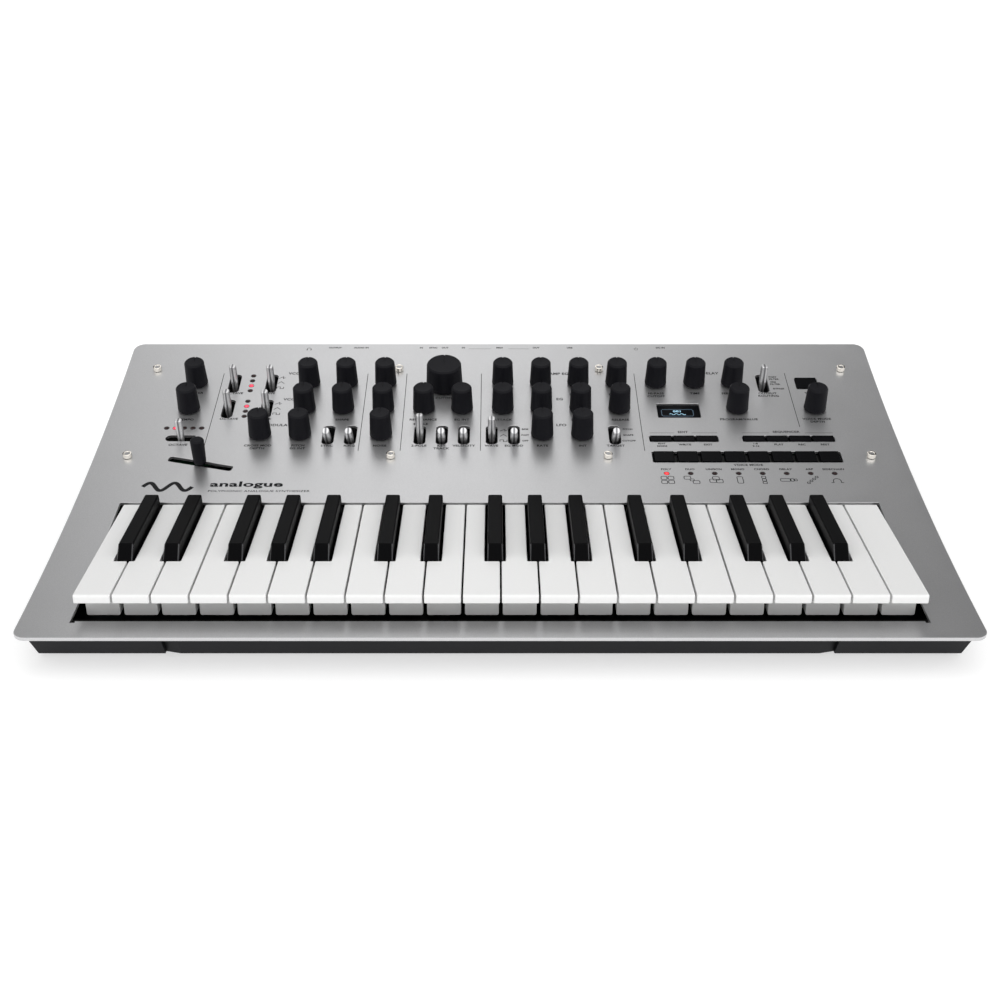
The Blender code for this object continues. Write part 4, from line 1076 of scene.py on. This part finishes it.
# Brightness of the parts of the studio.
SIDE_LOW, SIDE_HIGH, RIGHT_SIDE = 0.08, 0.04, 0.85
MIDDLE_GLOW = 1.32
REAR_BAND = 0.60
FRONT_GLOW, OVERHEAD = 1.45, 1.15
ZENITH_GLOW = 0.5
LENS, SENSOR, CAMERA_SHIFT = 50, 36, 0.0045
CAMERA_PLACE = (-2.4 * MM, -0.762, 0.3846)
CAMERA_TILT = math.radians(65.025)


def build_world():
    """White studio, with a grey wall behind the instrument that is lit at its middle."""
    world = bpy.data.worlds.new("studio")
    bpy.context.scene.world = world
    world.use_nodes = True
    tree = world.node_tree
    axes = tree.nodes.new("ShaderNodeSeparateXYZ")
    tree.links.new(tree.nodes.new("ShaderNodeTexCoord").outputs["Generated"], axes.inputs["Vector"])
    across, rearward, height = axes.outputs
    wall = graded(tree, height, 0.60, 0.74, SIDE_LOW, SIDE_HIGH)
    wall = arithmetic(tree, "MULTIPLY", wall, graded(tree, across, 0.05, 0.4, 1, RIGHT_SIDE))
    offset = arithmetic(tree, "ABSOLUTE", arithmetic(tree, "ADD", across, 0.06))
    spread = graded(tree, offset, 0.0, 0.34, 1, 0)
    middle = arithmetic(tree, "MULTIPLY", spread, graded(tree, height, 0.86, 0.96, MIDDLE_GLOW, 0))
    wall = arithmetic(tree, "ADD", wall, middle)
    wall = arithmetic(tree, "MULTIPLY", wall, graded(tree, height, 0.46, 0.58, REAR_BAND, 1))
    wall = arithmetic(tree, "MAXIMUM", wall, graded(tree, height, 0.26, 0.34, 1, 0))
    room = graded(tree, rearward, -0.7, -0.1, FRONT_GLOW, OVERHEAD)
    room = arithmetic(tree, "ADD", room, graded(tree, height, 0.88, 0.96, 0, ZENITH_GLOW))
    below_top = graded(tree, height, 0.9, 0.97, 1, 0)
    behind = arithmetic(tree, "MULTIPLY", graded(tree, rearward, 0.25, 0.5, 0, 1), below_top)
    mix = tree.nodes.new("ShaderNodeMix")
    tree.links.new(behind, mix.inputs[0])
    tree.links.new(room, mix.inputs[2])
    tree.links.new(wall, mix.inputs[3])
    background = tree.nodes["Background"]
    tree.links.new(mix.outputs[0], background.inputs["Color"])
    background.inputs["Strength"].default_value = 1.0


def build_stage():
    floor_material = new_material("pale_floor", (0.5, 0.5, 0.5), 0.6, Emission_Strength=0.55,
                                  Emission_Color=(1, 1, 1, 1))
    connect(floor_material, ramp(floor_material, noise(floor_material, coordinates(floor_material), 3),
                                 ((0.3, 0.49), (0.7, 0.51))), "Base Color")
    mesh = flat_solid([round_rectangle((0, 0), 30, 30, 5, 8)], -0.02, -0.0001)
    floor = bpy.data.objects.new("floor", mesh)
    floor.data.materials.append(floor_material)
    bpy.context.scene.collection.objects.link(floor)
    build_world()
    bpy.context.scene.view_settings.view_transform = "Standard"


def build_camera():
    """Camera in front of the keyboard, 25 degrees above the table, centred on the instrument."""
    data = bpy.data.cameras.new("camera")
    data.lens = LENS
    data.sensor_width = SENSOR
    camera = bpy.data.objects.new("camera", data)
    data.shift_x = CAMERA_SHIFT
    camera.location = CAMERA_PLACE
    camera.rotation_euler = (CAMERA_TILT, 0, 0)
    bpy.context.scene.collection.objects.link(camera)
    bpy.context.scene.camera = camera


build_camera()
build_stage()
build_panel()
build_legends()
build_emblem()
build_knobs()
build_levers()
build_bend_lever()
build_lamps()
build_buttons()
build_display()
build_screws()
build_white_keys()
build_black_keys()
build_case()
build_circuit_board()
build_sockets()
